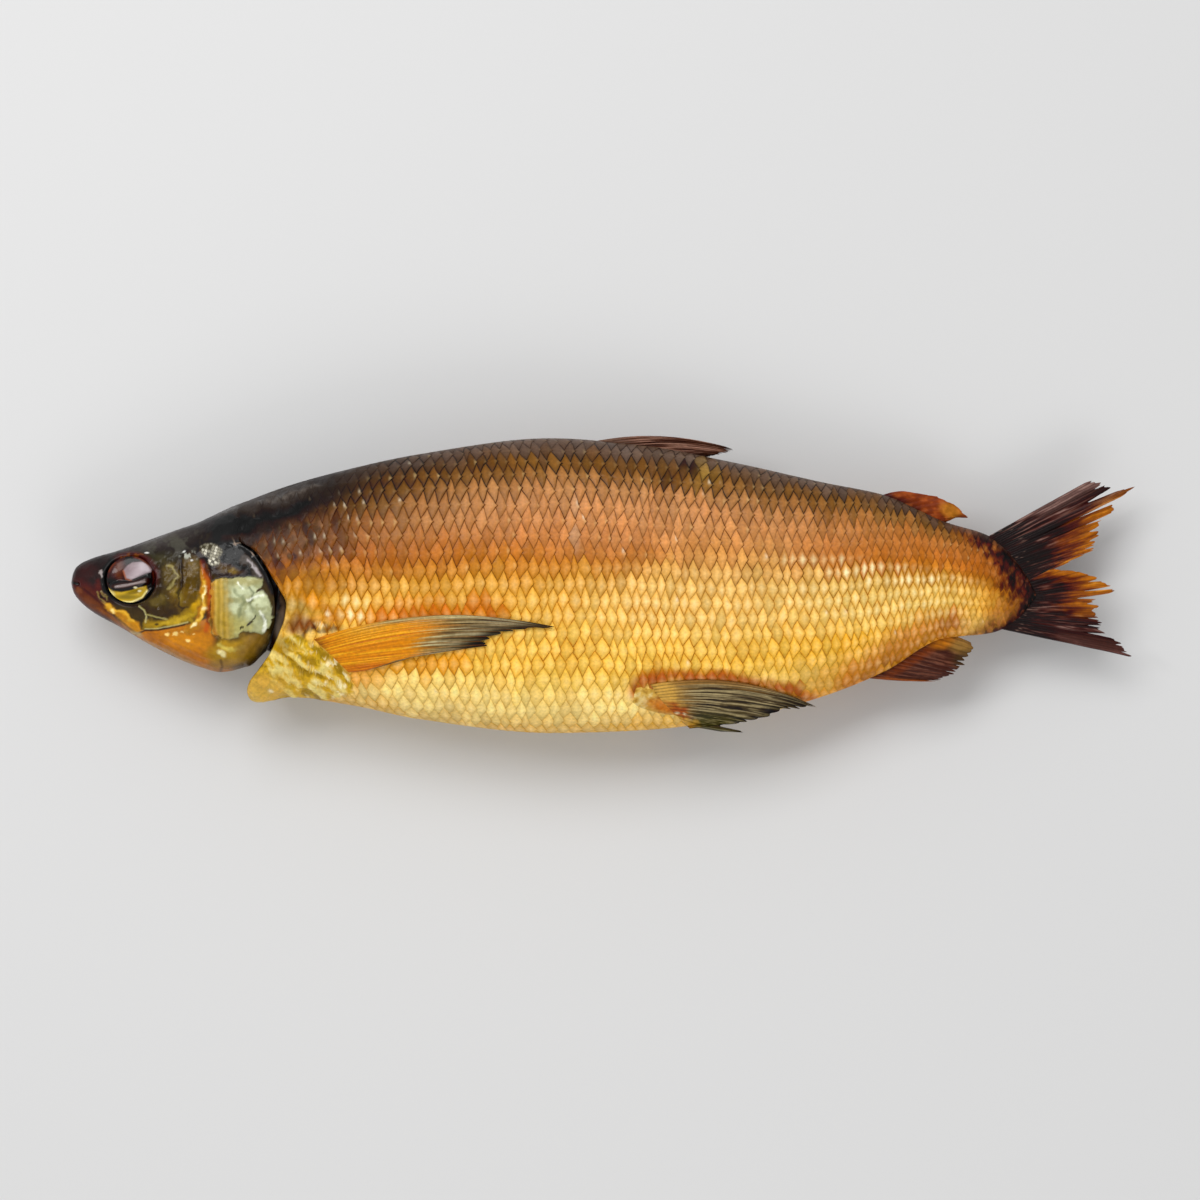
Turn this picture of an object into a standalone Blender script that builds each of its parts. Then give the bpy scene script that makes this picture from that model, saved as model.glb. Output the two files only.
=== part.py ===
"""A whole smoked whitefish lying on its right side.

X runs from the snout to the tail, Y from the belly to the back and Z up, out of
the fish's left side. The body is lofted through named cross-sections, the fins
are fans of tapering rays with frayed ends, and the gill openings, the wedge
under the throat, the mouth, the nostrils and the orbits are cut. Sizes are in
millimetres here and become metres in the meshes.
"""

import math
import random

import bmesh
import bpy
import numpy as np

MM = 0.001

# Driving sizes
BODY_END = 346.0  # where the scaled tail root ends
MAX_HALF_THICKNESS = 24.0
FLAT_DEPTH = 1.5  # the right flank is pressed flat by this much
SNOUT_DROOP = 3.0  # how far the mid-plane drops towards the snout
TAIL_DROOP = 7.0  # and towards the tip of the tail
STATIONS_ALONG = 56
POINTS_AROUND = 36
EYE_CENTRE = (22.0, 3.2)
EYE_RADII = (8.3, 7.2, 4.9)
EYE_DEPTH = 6.6  # from the mid-plane to the eyeball's centre
EYE_GAP = 0.3
GILL_CORE = 11.0  # half-thickness of the throat left between the two gill openings

# Cross-sections: x, back, belly, half-thickness, fullness of the back and of the belly
SECTIONS = [
    ("snout tip", 0.0, 4.6, 0.6, 1.7, 2.0, 2.0),
    ("snout", 1.8, 8.2, -2.5, 3.8, 2.0, 2.0),
    ("lips", 6.8, 11.1, -7.2, 6.6, 2.1, 2.0),
    ("orbit", 17.6, 14.3, -13.3, 10.2, 2.2, 1.9),
    ("cheek", 31.9, 19.4, -21.5, 13.4, 2.2, 1.8),
    ("jaw corner", 46.2, 24.4, -27.6, 16.2, 2.1, 1.8),
    ("throat", 56.0, 28.8, -32.0, 18.0, 2.1, 1.8),
    ("breast", 67.0, 33.4, -40.3, 19.8, 2.1, 1.9),
    ("shoulder", 79.0, 37.7, -38.4, 21.4, 2.1, 2.0),
    ("pectoral", 100.0, 43.4, -41.2, 23.4, 2.05, 2.1),
    ("forebody", 125.0, 48.7, -46.3, 24.0, 2.0, 2.2),
    ("dorsal", 172.0, 54.4, -51.2, 24.0, 2.0, 2.2),
    ("pelvic", 205.0, 51.7, -50.2, 22.6, 2.0, 2.2),
    ("hindbody", 240.0, 45.2, -45.9, 19.4, 2.0, 2.1),
    ("adipose", 270.0, 38.5, -38.0, 16.0, 2.0, 2.0),
    ("anal", 291.0, 34.2, -29.6, 13.0, 2.0, 2.0),
    ("peduncle", 313.0, 24.6, -17.4, 9.4, 2.0, 2.0),
    ("tail root", 330.0, 19.0, -15.4, 7.2, 2.0, 2.0),
    ("root end", 340.0, 9.4, -10.6, 4.6, 2.0, 2.0),
    ("root tip", BODY_END, -0.8, -3.6, 1.4, 2.0, 2.0),
]


def slopes(xs, ys):
    """Slopes of a curve through the points that never overshoots them."""
    h = np.diff(xs)
    d = np.diff(ys) / h
    m = np.zeros(len(xs))
    m[0], m[-1] = d[0], d[-1]
    for i in range(1, len(xs) - 1):
        if d[i - 1] * d[i] > 0:
            w1, w2 = 2 * h[i] + h[i - 1], h[i] + 2 * h[i - 1]
            m[i] = (w1 + w2) / (w1 / d[i - 1] + w2 / d[i])
    return m


class Curve:
    def __init__(self, xs, ys):
        self.xs, self.ys = np.array(xs, float), np.array(ys, float)
        self.ms = slopes(self.xs, self.ys)

    def __call__(self, x):
        x = min(max(x, self.xs[0]), self.xs[-1])
        i = min(max(int(np.searchsorted(self.xs, x)) - 1, 0), len(self.xs) - 2)
        h = self.xs[i + 1] - self.xs[i]
        t = (x - self.xs[i]) / h
        return float(
            (1 + 2 * t) * (1 - t) ** 2 * self.ys[i]
            + t * (1 - t) ** 2 * h * self.ms[i]
            + t * t * (3 - 2 * t) * self.ys[i + 1]
            + t * t * (t - 1) * h * self.ms[i + 1]
        )


AT = [s[1] for s in SECTIONS]
BACK, BELLY, HALF, FULL_BACK, FULL_BELLY = (
    Curve(AT, [s[k] for s in SECTIONS]) for k in (2, 3, 4, 5, 6)
)
AXIS_Z = MAX_HALF_THICKNESS - FLAT_DEPTH


def mid(x):
    """Height of the fish's mid-plane: level at the trunk, drooping to both ends."""
    fore = max(0.0, (90.0 - x) / 90.0)
    aft = max(0.0, (x - 200.0) / 180.0)
    return AXIS_Z - SNOUT_DROOP * fore**2 - TAIL_DROOP * aft**2


def flank(x, y, side):
    """Height of the flank's surface at x, y: side 1 is the left, upper one."""
    top, low = BACK(x), BELLY(x)
    h = (top - low) / 2
    r = (y - (top + low) / 2) / h
    n = FULL_BACK(x) if r > 0 else FULL_BELLY(x)
    rise = max(1 - min(abs(r), 1.0) ** n, 0.0) ** (1 / n)
    return mid(x) + side * HALF(x) * rise


def material(name, colour, roughness):
    mat = bpy.data.materials.new(name)
    mat.use_nodes = True
    shader = mat.node_tree.nodes["Principled BSDF"]
    shader.inputs["Base Color"].default_value = (*colour, 1.0)
    shader.inputs["Roughness"].default_value = roughness
    shader.inputs["Metallic"].default_value = 0.0
    return mat


def object_from(name, points, faces, mat=None):
    mesh = bpy.data.meshes.new(name)
    mesh.from_pydata([tuple(c * MM for c in p) for p in points], [], faces)
    bm = bmesh.new()
    bm.from_mesh(mesh)
    bmesh.ops.recalc_face_normals(bm, faces=bm.faces)
    bm.to_mesh(mesh)
    bm.free()
    obj = bpy.data.objects.new(name, mesh)
    bpy.context.collection.objects.link(obj)
    if mat:
        mesh.materials.append(mat)
    return obj


def helper(obj):
    obj.hide_render = True
    obj.display_type = "WIRE"
    return obj


# ---------------------------------------------------------------- body
def body():
    xs = []
    for i in range(STATIONS_ALONG + 1):
        u = i / STATIONS_ALONG
        # stations crowd towards the snout, the head and the tail root
        xs.append(BODY_END * (u + 0.055 * math.sin(4 * math.pi * u) * -1 * (1 - u)))
    xs[0], xs[1] = 0.0, 1.2
    xs = sorted(xs)
    points, faces = [], []
    for x in xs:
        top, low, half = BACK(x), BELLY(x), HALF(x)
        centre, h = (top + low) / 2, (top - low) / 2
        for k in range(POINTS_AROUND):
            a = 2 * math.pi * k / POINTS_AROUND
            c, s = math.cos(a), math.sin(a)
            n = FULL_BACK(x) if s > 0 else FULL_BELLY(x)
            points.append(
                (
                    x,
                    centre + h * math.copysign(abs(s) ** (2 / n), s),
                    mid(x) + half * math.copysign(abs(c) ** (2 / n), c),
                )
            )
    ring = POINTS_AROUND
    for i in range(len(xs) - 1):
        for k in range(ring):
            j = (k + 1) % ring
            faces.append((i * ring + k, i * ring + j, (i + 1) * ring + j, (i + 1) * ring + k))
    faces.append(tuple(range(ring)))
    faces.append(tuple(range((len(xs) - 1) * ring, len(xs) * ring)))
    return object_from("fish", points, faces)


# ---------------------------------------------------------------- fins
def fan(name, rays, steps, height, root, tip):
    """A fin: rays are (base point, end point, bow) in x, y. Height gives z at (ray
    fraction, distance fraction, x, y), and the blade thins from root to tip."""
    points, faces = [], []
    n = len(rays)
    for side in (1, -1):
        for i, (a, b, bow) in enumerate(rays):
            dx, dy = b[0] - a[0], b[1] - a[1]
            for j in range(steps + 1):
                s = j / steps
                lift = bow * 4 * s * (1 - s)
                x, y = a[0] + dx * s - dy * lift, a[1] + dy * s + dx * lift
                t = root + (tip - root) * s
                rim = 0.55 if i in (0, n - 1) else 1.0
                z = height(i / (n - 1), s, x, y)
                points.append((x, y, z + side * t * rim / 2))
    width = steps + 1
    low = n * width
    for i in range(n - 1):
        for j in range(steps):
            q = (i * width + j, i * width + j + 1, (i + 1) * width + j + 1, (i + 1) * width + j)
            faces.append(q)
            faces.append(tuple(low + v for v in reversed(q)))
    rim = [i * width for i in range(n)]
    rim += [(n - 1) * width + j for j in range(1, width)]
    rim += [i * width + steps for i in range(n - 2, -1, -1)]
    rim += [j for j in range(steps - 1, 0, -1)]
    for k, v in enumerate(rim):
        w = rim[(k + 1) % len(rim)]
        faces.append((v, w, low + w, low + v))
    return helper(object_from(name, points, faces))


def rays_between(base_from, base_to, ends, count, fray, seed, bow=0.0):
    """Rays from a straight base to a curved edge given by (fraction, x, y). Every
    second ray is shorter by a random part of fray, so the edge is frayed."""
    rng = random.Random(seed)
    us = [e[0] for e in ends]
    ex, ey = Curve(us, [e[1] for e in ends]), Curve(us, [e[2] for e in ends])
    rays = []
    for i in range(count):
        u = i / (count - 1)
        a = (
            base_from[0] + (base_to[0] - base_from[0]) * u,
            base_from[1] + (base_to[1] - base_from[1]) * u,
        )
        b = (ex(u), ey(u))
        cut = rng.uniform(0.35, 1.0) * fray if i % 2 and 0 < i < count - 1 else 0.0
        b = (b[0] + (a[0] - b[0]) * cut, b[1] + (a[1] - b[1]) * cut)
        rays.append((a, b, bow))
    return rays


def upright(lean=0.0):
    """Fins of the back and belly: in the mid-plane, leaning over by the free end."""
    return lambda u, s, x, y: mid(x) + lean * s * s


def lying(side, above, tip_level, free_from):
    """Paired fins: on the flank near the root, then level where they stand clear."""

    def height(u, s, x, y):
        on_flank = flank(x, y, side) + side * above
        level = mid(x) + side * tip_level
        w = min(max((s - free_from) / max(1 - free_from, 1e-6), 0.0), 1.0)
        free = on_flank + (level - on_flank) * w
        return max(on_flank, free) if side > 0 else min(on_flank, free)

    return height


def fins():
    made = []
    # tail: angle in degrees and length of each group of rays, from the upper lobe down
    tail_reach = [
        (50, 44), (46, 52), (43.5, 50), (37, 59.3), (33, 48), (27.5, 40.5), (22, 35.5),
        (18.6, 21), (13, 24), (6.4, 32), (0, 40), (-3, 41), (-10, 36), (-16, 38),
        (-21, 39), (-25.5, 49), (-28.6, 52.5), (-34.6, 39), (-41, 31), (-47, 27),
    ]
    rays = []
    count = 39
    angle = Curve(range(len(tail_reach)), [-a[0] for a in tail_reach])
    reach = Curve(range(len(tail_reach)), [a[1] for a in tail_reach])
    rng = random.Random(4)
    for i in range(count):
        g = i / (count - 1) * (len(tail_reach) - 1)
        a = math.radians(-angle(g))
        r = reach(g) * (1 - (rng.uniform(0.02, 0.09) if i % 2 else 0.0))
        v = i / (count - 1)
        base = (323.0 + 6 * math.sin(math.pi * v), 14.0 - 25.5 * v)
        rays.append((base, (333.0 + r * math.cos(a), 1.4 + r * math.sin(a)), 0.0))
    made.append(fan("tail_fin", rays, 5, upright(0.0), 3.2, 0.9))

    # dorsal: folded back along the ridge
    rays = rays_between(
        (186.0, 51.0), (215.5, 46.0),
        [(0, 190.0, 55.3), (0.2, 204.0, 55.2), (0.45, 218.0, 54.6), (0.7, 229.0, 52.6),
         (0.9, 236.0, 50.6), (1, 230.0, 49.2)],
        11, 0.10, 7,
    )
    made.append(fan("dorsal_fin", rays, 4, upright(0.0), 2.6, 0.9))

    # adipose: a small fleshy flap with a thin trailing tip
    rays = rays_between(
        (289.0, 31.5), (311.0, 22.8),
        [(0, 287.0, 35.2), (0.3, 300.0, 35.0), (0.6, 311.0, 33.0), (0.85, 318.0, 29.8),
         (1, 320.5, 26.0)],
        8, 0.03, 9,
    )
    made.append(fan("adipose_fin", rays, 3, upright(0.0), 2.6, 1.0))

    # anal: rays sweep back from a slanting base
    rays = rays_between(
        (284.0, -29.5), (314.0, -15.0),
        [(0, 284.0, -34.6), (0.25, 300.0, -32.9), (0.5, 310.0, -32.5), (0.72, 318.0, -29.2),
         (0.88, 324.0, -22.0), (1, 319.0, -17.6)],
        13, 0.10, 11,
    )
    made.append(fan("anal_fin", rays, 4, upright(0.0), 2.8, 0.9))

    # pectorals: laid back along the flanks
    for side, name in ((1, "pectoral_left"), (-1, "pectoral_right")):
        rays = rays_between(
            (89.0, -18.0), (99.5, -28.4),
            [(0, 134.0, -9.4), (0.25, 156.0, -9.8), (0.45, 171.5, -13.2), (0.6, 160.0, -15.4),
             (0.75, 149.5, -19.4), (0.9, 133.0, -22.0), (1, 120.0, -25.0)],
            15, 0.06, 13 + side,
        )
        made.append(
            fan(name, rays, 7, lying(side, 0.35, 0.0, 1.0), 2.6, 1.5)
        )

    # pelvics: laid back along the lower flanks, the right one peeping out below
    rays = rays_between(
        (203.0, -34.0), (208.5, -45.6),
        [(0, 246.0, -34.4), (0.3, 262.0, -38.6), (0.45, 266.5, -41.6), (0.6, 252.0, -43.0),
         (0.8, 237.0, -46.4), (1, 218.0, -48.2)],
        13, 0.08, 21,
    )
    made.append(fan("pelvic_left", rays, 7, lying(1, 0.35, 5.5, 0.35), 2.6, 1.1))
    rays = rays_between(
        (203.0, -36.0), (208.5, -47.0),
        [(0, 252.0, -35.0), (0.3, 262.0, -38.6), (0.5, 255.0, -44.0), (0.7, 241.2, -51.0),
         (0.85, 231.0, -51.4), (1, 221.0, -50.2)],
        13, 0.08, 23,
    )
    made.append(fan("pelvic_right", rays, 7, lying(-1, 0.35, 7.5, 0.35), 2.6, 1.1))
    return made


# ---------------------------------------------------------------- cutters
def prism(name, outline, z_from, z_to):
    n = len(outline)
    points = [(x, y, z_from) for x, y in outline] + [(x, y, z_to) for x, y in outline]
    faces = [tuple(range(n)), tuple(range(n, 2 * n))]
    faces += [(k, (k + 1) % n, n + (k + 1) % n, n + k) for k in range(n)]
    return helper(object_from(name, points, faces))


def ellipsoid(name, centre, radii, segments, rings):
    mesh = bpy.data.meshes.new(name)
    bm = bmesh.new()
    bmesh.ops.create_uvsphere(bm, u_segments=segments, v_segments=rings, radius=1.0)
    for v in bm.verts:
        v.co = [(centre[k] + radii[k] * v.co[k]) * MM for k in range(3)]
    bm.to_mesh(mesh)
    bm.free()
    obj = bpy.data.objects.new(name, mesh)
    bpy.context.collection.objects.link(obj)
    return obj


def cutters():
    made = []
    # gill opening: from a fine slit at the top of the gill cover to a wide gape below
    cover_edge = [(60.4, 16.6), (64.6, 14.0), (68.6, 9.4), (71.6, 4.0), (73.2, -0.6),
                  (73.3, -6.0), (72.2, -12.5), (70.6, -18.0), (68.5, -23.0)]
    shoulder_edge = [(61.2, 17.3), (65.6, 14.8), (69.7, 10.2), (73.0, 4.6), (75.6, 0.2),
                     (78.2, -5.0), (77.6, -10.0), (75.4, -16.0), (72.4, -22.5)]
    slit = cover_edge + [(69.6, -25.6)] + shoulder_edge[::-1]
    reach = 40.0
    made.append(prism("gill_cut_left", slit, mid(70.0) + GILL_CORE, mid(70.0) + reach))
    made.append(prism("gill_cut_right", slit, mid(70.0) - reach, mid(70.0) - GILL_CORE))
    # wedge between the throat and the breast, open right through
    wedge = [(47.0, -28.3), (53.8, -29.5), (58.5, -28.8), (63.0, -27.2), (68.4, -23.1),
             (71.6, -22.6), (70.8, -25.6), (67.4, -29.6), (64.6, -33.0), (63.5, -36.6),
             (64.3, -39.3), (66.6, -40.6), (66.0, -48.0), (47.0, -48.0)]
    made.append(prism("throat_cut", wedge, -20.0, 70.0))
    # mouth: a slot through the lips, running back along the jaw on both sides
    lip = [(-3.0, 3.5), (3.0, 2.5), (8.5, -1.6), (9.0, -2.4), (8.4, -2.9), (2.6, 1.5), (-3.0, 2.3)]
    made.append(prism("mouth_cut", lip, -20.0, 70.0))
    jaw = [(7.6, -1.2), (13.5, -6.2), (18.0, -12.6), (17.0, -13.0), (12.8, -7.2), (7.4, -2.3)]
    made.append(prism("jaw_cut_left", jaw, mid(12.0) + 4.6, mid(12.0) + 30.0))
    made.append(prism("jaw_cut_right", jaw, mid(12.0) - 30.0, mid(12.0) - 4.6))
    for side, name in ((1, "left"), (-1, "right")):
        x, y = EYE_CENTRE
        z = mid(x) + side * EYE_DEPTH
        radii = tuple(r + EYE_GAP for r in EYE_RADII)
        made.append(helper(ellipsoid("orbit_cut_" + name, (x, y, z), radii, 24, 14)))
        nx, ny = 11.0, -2.4 + 5.0
        made.append(
            helper(ellipsoid("nostril_cut_" + name, (nx, ny, flank(nx, ny, side)), (1.3, 0.9, 1.1), 10, 6))
        )
    made.append(prism("ground_cut", [(-60, -120), (460, -120), (460, 120), (-60, 120)], -60.0, 0.0))
    return made


def main():
    for old in list(bpy.data.objects):
        bpy.data.objects.remove(old, do_unlink=True)
    skin = material("smoked_skin", (0.42, 0.20, 0.055), 0.42)
    eye_mat = material("eye", (0.10, 0.055, 0.03), 0.15)

    fish = body()
    fish.data.materials.append(skin)
    for other in fins():
        step = fish.modifiers.new("join_" + other.name, "BOOLEAN")
        step.operation, step.solver, step.object = "UNION", "EXACT", other
    for other in cutters():
        step = fish.modifiers.new(other.name, "BOOLEAN")
        step.operation, step.solver, step.object = "DIFFERENCE", "EXACT", other

    eyes = []
    for side, name in ((1, "eye_left"), (-1, "eye_right")):
        x, y = EYE_CENTRE
        eye = ellipsoid(name, (x, y, mid(x) + side * EYE_DEPTH), EYE_RADII, 22, 12)
        eye.data.materials.append(eye_mat)
        eye.data.shade_smooth()
        eyes.append(eye)

    # the modifiers are applied, the helpers go, and the origin moves to the centre of
    # the base of the whole fish's box
    bpy.context.view_layer.update()
    graph = bpy.context.evaluated_depsgraph_get()
    solid = bpy.data.meshes.new_from_object(fish.evaluated_get(graph))
    fish.modifiers.clear()
    fish.data = solid
    solid.name = "fish"
    solid.materials.clear()
    solid.materials.append(skin)
    for obj in list(bpy.data.objects):
        if obj.hide_render:
            bpy.data.objects.remove(obj, do_unlink=True)
    co = np.empty(len(solid.vertices) * 3)
    solid.vertices.foreach_get("co", co)
    co = co.reshape(-1, 3)
    low, high = co.min(axis=0), co.max(axis=0)
    shift = np.array([-(low[0] + high[0]) / 2, -(low[1] + high[1]) / 2, -low[2]])
    for obj in [fish] + eyes:
        mesh = obj.data
        pts = np.empty(len(mesh.vertices) * 3)
        mesh.vertices.foreach_get("co", pts)
        pts = (pts.reshape(-1, 3) + shift).ravel()
        mesh.vertices.foreach_set("co", pts)
        mesh.update()
    solid.shade_smooth()
    solid.set_sharp_from_angle(angle=math.radians(40))


main()
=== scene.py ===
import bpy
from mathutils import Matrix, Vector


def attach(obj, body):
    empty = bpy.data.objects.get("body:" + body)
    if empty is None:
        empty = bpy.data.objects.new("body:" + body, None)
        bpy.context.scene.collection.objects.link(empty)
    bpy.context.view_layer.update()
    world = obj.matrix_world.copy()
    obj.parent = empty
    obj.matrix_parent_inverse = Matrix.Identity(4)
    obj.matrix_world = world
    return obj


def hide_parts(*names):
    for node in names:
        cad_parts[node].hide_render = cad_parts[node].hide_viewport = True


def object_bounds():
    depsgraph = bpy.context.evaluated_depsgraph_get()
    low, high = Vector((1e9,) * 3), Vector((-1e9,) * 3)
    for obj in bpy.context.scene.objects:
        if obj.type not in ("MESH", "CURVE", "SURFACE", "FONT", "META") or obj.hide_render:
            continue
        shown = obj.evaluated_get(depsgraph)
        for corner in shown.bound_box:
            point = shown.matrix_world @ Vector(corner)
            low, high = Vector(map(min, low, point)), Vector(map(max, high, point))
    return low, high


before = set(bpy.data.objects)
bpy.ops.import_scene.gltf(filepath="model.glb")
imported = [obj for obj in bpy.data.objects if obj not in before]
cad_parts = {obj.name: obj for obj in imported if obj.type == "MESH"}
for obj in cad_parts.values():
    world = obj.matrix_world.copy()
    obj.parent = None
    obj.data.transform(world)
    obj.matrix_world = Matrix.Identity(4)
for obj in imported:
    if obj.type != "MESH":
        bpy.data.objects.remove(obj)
# A whole smoked whitefish on its right side: the skin is one scale after another, each a
# small domed plate whose rear edge lies on the next; the head, gill slit, eyes and the
# fins' rays are modelled too. Lengths are in millimetres with the snout at x = 0.
import math
import random

import bpy
import numpy as np
from mathutils import Vector

CAD_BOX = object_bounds()

SECTIONS = [
    (0.0, 4.6, 0.6, 1.7, 2.0, 2.0),
    (1.8, 8.2, -2.5, 3.8, 2.0, 2.0),
    (6.8, 11.1, -7.2, 6.6, 2.1, 2.0),
    (17.6, 14.3, -13.3, 10.2, 2.2, 1.9),
    (31.9, 19.4, -21.5, 13.4, 2.2, 1.8),
    (46.2, 24.4, -27.6, 16.2, 2.1, 1.8),
    (56.0, 28.8, -32.0, 18.0, 2.1, 1.8),
    (67.0, 33.4, -40.3, 19.8, 2.1, 1.9),
    (79.0, 37.7, -38.4, 21.4, 2.1, 2.0),
    (100.0, 43.4, -41.2, 23.4, 2.05, 2.1),
    (125.0, 48.7, -46.3, 24.0, 2.0, 2.2),
    (172.0, 54.4, -51.2, 24.0, 2.0, 2.2),
    (205.0, 51.7, -50.2, 22.6, 2.0, 2.2),
    (240.0, 45.2, -45.9, 19.4, 2.0, 2.1),
    (270.0, 38.5, -38.0, 16.0, 2.0, 2.0),
    (291.0, 34.2, -29.6, 13.0, 2.0, 2.0),
    (313.0, 24.6, -17.4, 9.4, 2.0, 2.0),
    (330.0, 19.0, -15.4, 7.2, 2.0, 2.0),
    (340.0, 9.4, -10.6, 4.6, 2.0, 2.0),
    (346.0, -0.8, -3.6, 1.4, 2.0, 2.0),
]
MIDLINE = [(0, 2.6), (6.8, 2.0), (17.6, 0.5), (31.9, -1.0), (46.2, -1.6), (60, -1.5), (79, -0.4),
           (100, 1.1), (125, 1.2), (172, 1.6), (205, 0.8), (240, -0.3), (270, 0.3), (291, 2.3),
           (313, 3.6), (330, 1.8), (340, -0.6), (346, -2.2)]
HEAD_BELLY = [(0.0, 0.6), (1.8, -2.5), (6.8, -7.2), (17.6, -13.3), (31.9, -21.5), (46.2, -27.6),
              (53.8, -29.4), (62.4, -27.6), (68.5, -23.3), (74.0, -17.0), (78.0, -10.0)]
K = 0.35849  # mm per unit of the 1200-unit layout that the views are laid out in


class Curve:
    """A smooth curve through points, which never overshoots them."""

    def __init__(self, pts):
        self.x = np.array([p[0] for p in pts], float)
        self.y = np.array([p[1] for p in pts], float)
        h = np.diff(self.x)
        d = np.diff(self.y) / h
        m = np.zeros(len(self.x))
        m[0], m[-1] = d[0], d[-1]
        for i in range(1, len(self.x) - 1):
            if d[i - 1] * d[i] > 0:
                w1, w2 = 2 * h[i] + h[i - 1], h[i] + 2 * h[i - 1]
                m[i] = (w1 + w2) / (w1 / d[i - 1] + w2 / d[i])
        self.m = m

    def __call__(self, q):
        q = np.clip(np.asarray(q, float), self.x[0], self.x[-1])
        i = np.clip(np.searchsorted(self.x, q) - 1, 0, len(self.x) - 2)
        h = self.x[i + 1] - self.x[i]
        t = (q - self.x[i]) / h
        return (
            (1 + 2 * t) * (1 - t) ** 2 * self.y[i]
            + t * (1 - t) ** 2 * h * self.m[i]
            + t * t * (3 - 2 * t) * self.y[i + 1]
            + t * t * (t - 1) * h * self.m[i + 1]
        )


BACK, BELLY, HALF, FULL_UP, FULL_LOW = (Curve([(s[0], s[k]) for s in SECTIONS]) for k in (1, 2, 3, 4, 5))
AX = Curve(MIDLINE)
HBELLY = Curve(HEAD_BELLY)
AXIS_Z = 24.0 - 1.5


def mid(x):
    x = np.asarray(x, float)
    fore = np.maximum(0.0, (90.0 - x) / 90.0)
    aft = np.maximum(0.0, (x - 200.0) / 180.0)
    return AXIS_Z - 3.0 * fore**2 - 7.0 * aft**2


# millimetres of the layout to metres of the frame
lo, hi = CAD_BOX
OFF_X = lo[0] * 1000.0 + 0.0
OFF_Y = -(55.33 - 51.36) / 2


def metres(p):
    p = np.asarray(p, float)
    return np.stack([(p[:, 0] + OFF_X) * 0.001, (p[:, 1] + OFF_Y) * 0.001, p[:, 2] * 0.001], 1)


def sstep(v, a, b):
    t = np.clip((np.asarray(v, float) - a) / (b - a), 0, 1)
    return t * t * (3 - 2 * t)


# ------------------------------------------------------------------ noise
_tables = {}


def vnoise(x, y, seed=0):
    """Smooth value noise in 0..1."""
    if seed not in _tables:
        _tables[seed] = np.random.RandomState(seed + 11).rand(256, 256)
    tab = _tables[seed]
    xi, yi = np.floor(x).astype(int), np.floor(y).astype(int)
    fx, fy = x - xi, y - yi
    fx, fy = fx * fx * (3 - 2 * fx), fy * fy * (3 - 2 * fy)
    a, b = tab[xi & 255, yi & 255], tab[(xi + 1) & 255, yi & 255]
    c, d = tab[xi & 255, (yi + 1) & 255], tab[(xi + 1) & 255, (yi + 1) & 255]
    return (a * (1 - fx) + b * fx) * (1 - fy) + (c * (1 - fx) + d * fx) * fy


def fbm(x, y, seed=0, octaves=4):
    total, amp, norm = 0.0, 1.0, 0.0
    for o in range(octaves):
        total = total + amp * vnoise(x * 2**o + 17.3 * o, y * 2**o - 9.1 * o, seed + o)
        norm += amp
        amp *= 0.5
    return total / norm


def hash01(i, j, seed):
    if ("h", seed) not in _tables:
        _tables[("h", seed)] = np.random.RandomState(seed + 977).rand(512, 512)
    return _tables[("h", seed)][np.asarray(i) & 511, np.asarray(j) & 511]


# ------------------------------------------------------------------ colours and masks
def rgb(h):
    h = h.lstrip("#")
    c = np.array([int(h[k : k + 2], 16) / 255 for k in (0, 2, 4)])
    return np.where(c <= 0.04045, c / 12.92, ((c + 0.055) / 1.055) ** 2.4)


def lay(col, h, mask):
    """Lays one colour over the others by a mask."""
    c = rgb(h) if isinstance(h, str) else h
    m = np.clip(mask, 0, 1)[:, None]
    return col * (1 - m) + c * m


def ell(px, py, cx, cy, rx, ry, rot=0.0, soft=0.3):
    a = math.radians(rot)
    dx, dy = px - cx, py - cy
    u, v = (dx * math.cos(a) + dy * math.sin(a)) / rx, (-dx * math.sin(a) + dy * math.cos(a)) / ry
    return 1 - sstep(np.hypot(u, v), 1 - soft, 1 + soft)


def along(px, py, pts):
    """Distance to a line through points, and how far along it the nearest point is."""
    best, where = np.full(len(px), 1e9), np.zeros(len(px))
    n = len(pts) - 1
    for k in range(n):
        (ax, ay), (bx, by) = pts[k], pts[k + 1]
        vx, vy = bx - ax, by - ay
        t = np.clip(((px - ax) * vx + (py - ay) * vy) / (vx * vx + vy * vy), 0, 1)
        d = np.hypot(px - ax - t * vx, py - ay - t * vy)
        closer = d < best
        best = np.where(closer, d, best)
        where = np.where(closer, (k + t) / n, where)
    return best, where


def stroke(px, py, pts, width, soft=0.5):
    d, _ = along(px, py, pts)
    return 1 - sstep(d, width * (1 - soft), width * (1 + soft))


def inside(px, py, pts):
    """Signed distance to a polygon's edge: positive inside."""
    d, _ = along(px, py, list(pts) + [pts[0]])
    odd = np.zeros(len(px), bool)
    n = len(pts)
    for k in range(n):
        (ax, ay), (bx, by) = pts[k], pts[(k + 1) % n]
        if ay == by:
            continue
        hit = ((ay > py) != (by > py)) & (px < (bx - ax) * (py - ay) / (by - ay) + ax)
        odd ^= hit
    return np.where(odd, d, -d)


def area(px, py, pts, soft):
    return sstep(inside(px, py, pts), -soft, soft)


# ------------------------------------------------------------------ meshes
# light that the wet surfaces send back whatever their colour, taken off the paint below them
SHEEN = {"scaly_skin": 0.017, "head_skin": 0.018, "fin_rays": 0.014, "gill_membrane": 0.016, "eye_glassy": 0.010}


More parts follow.
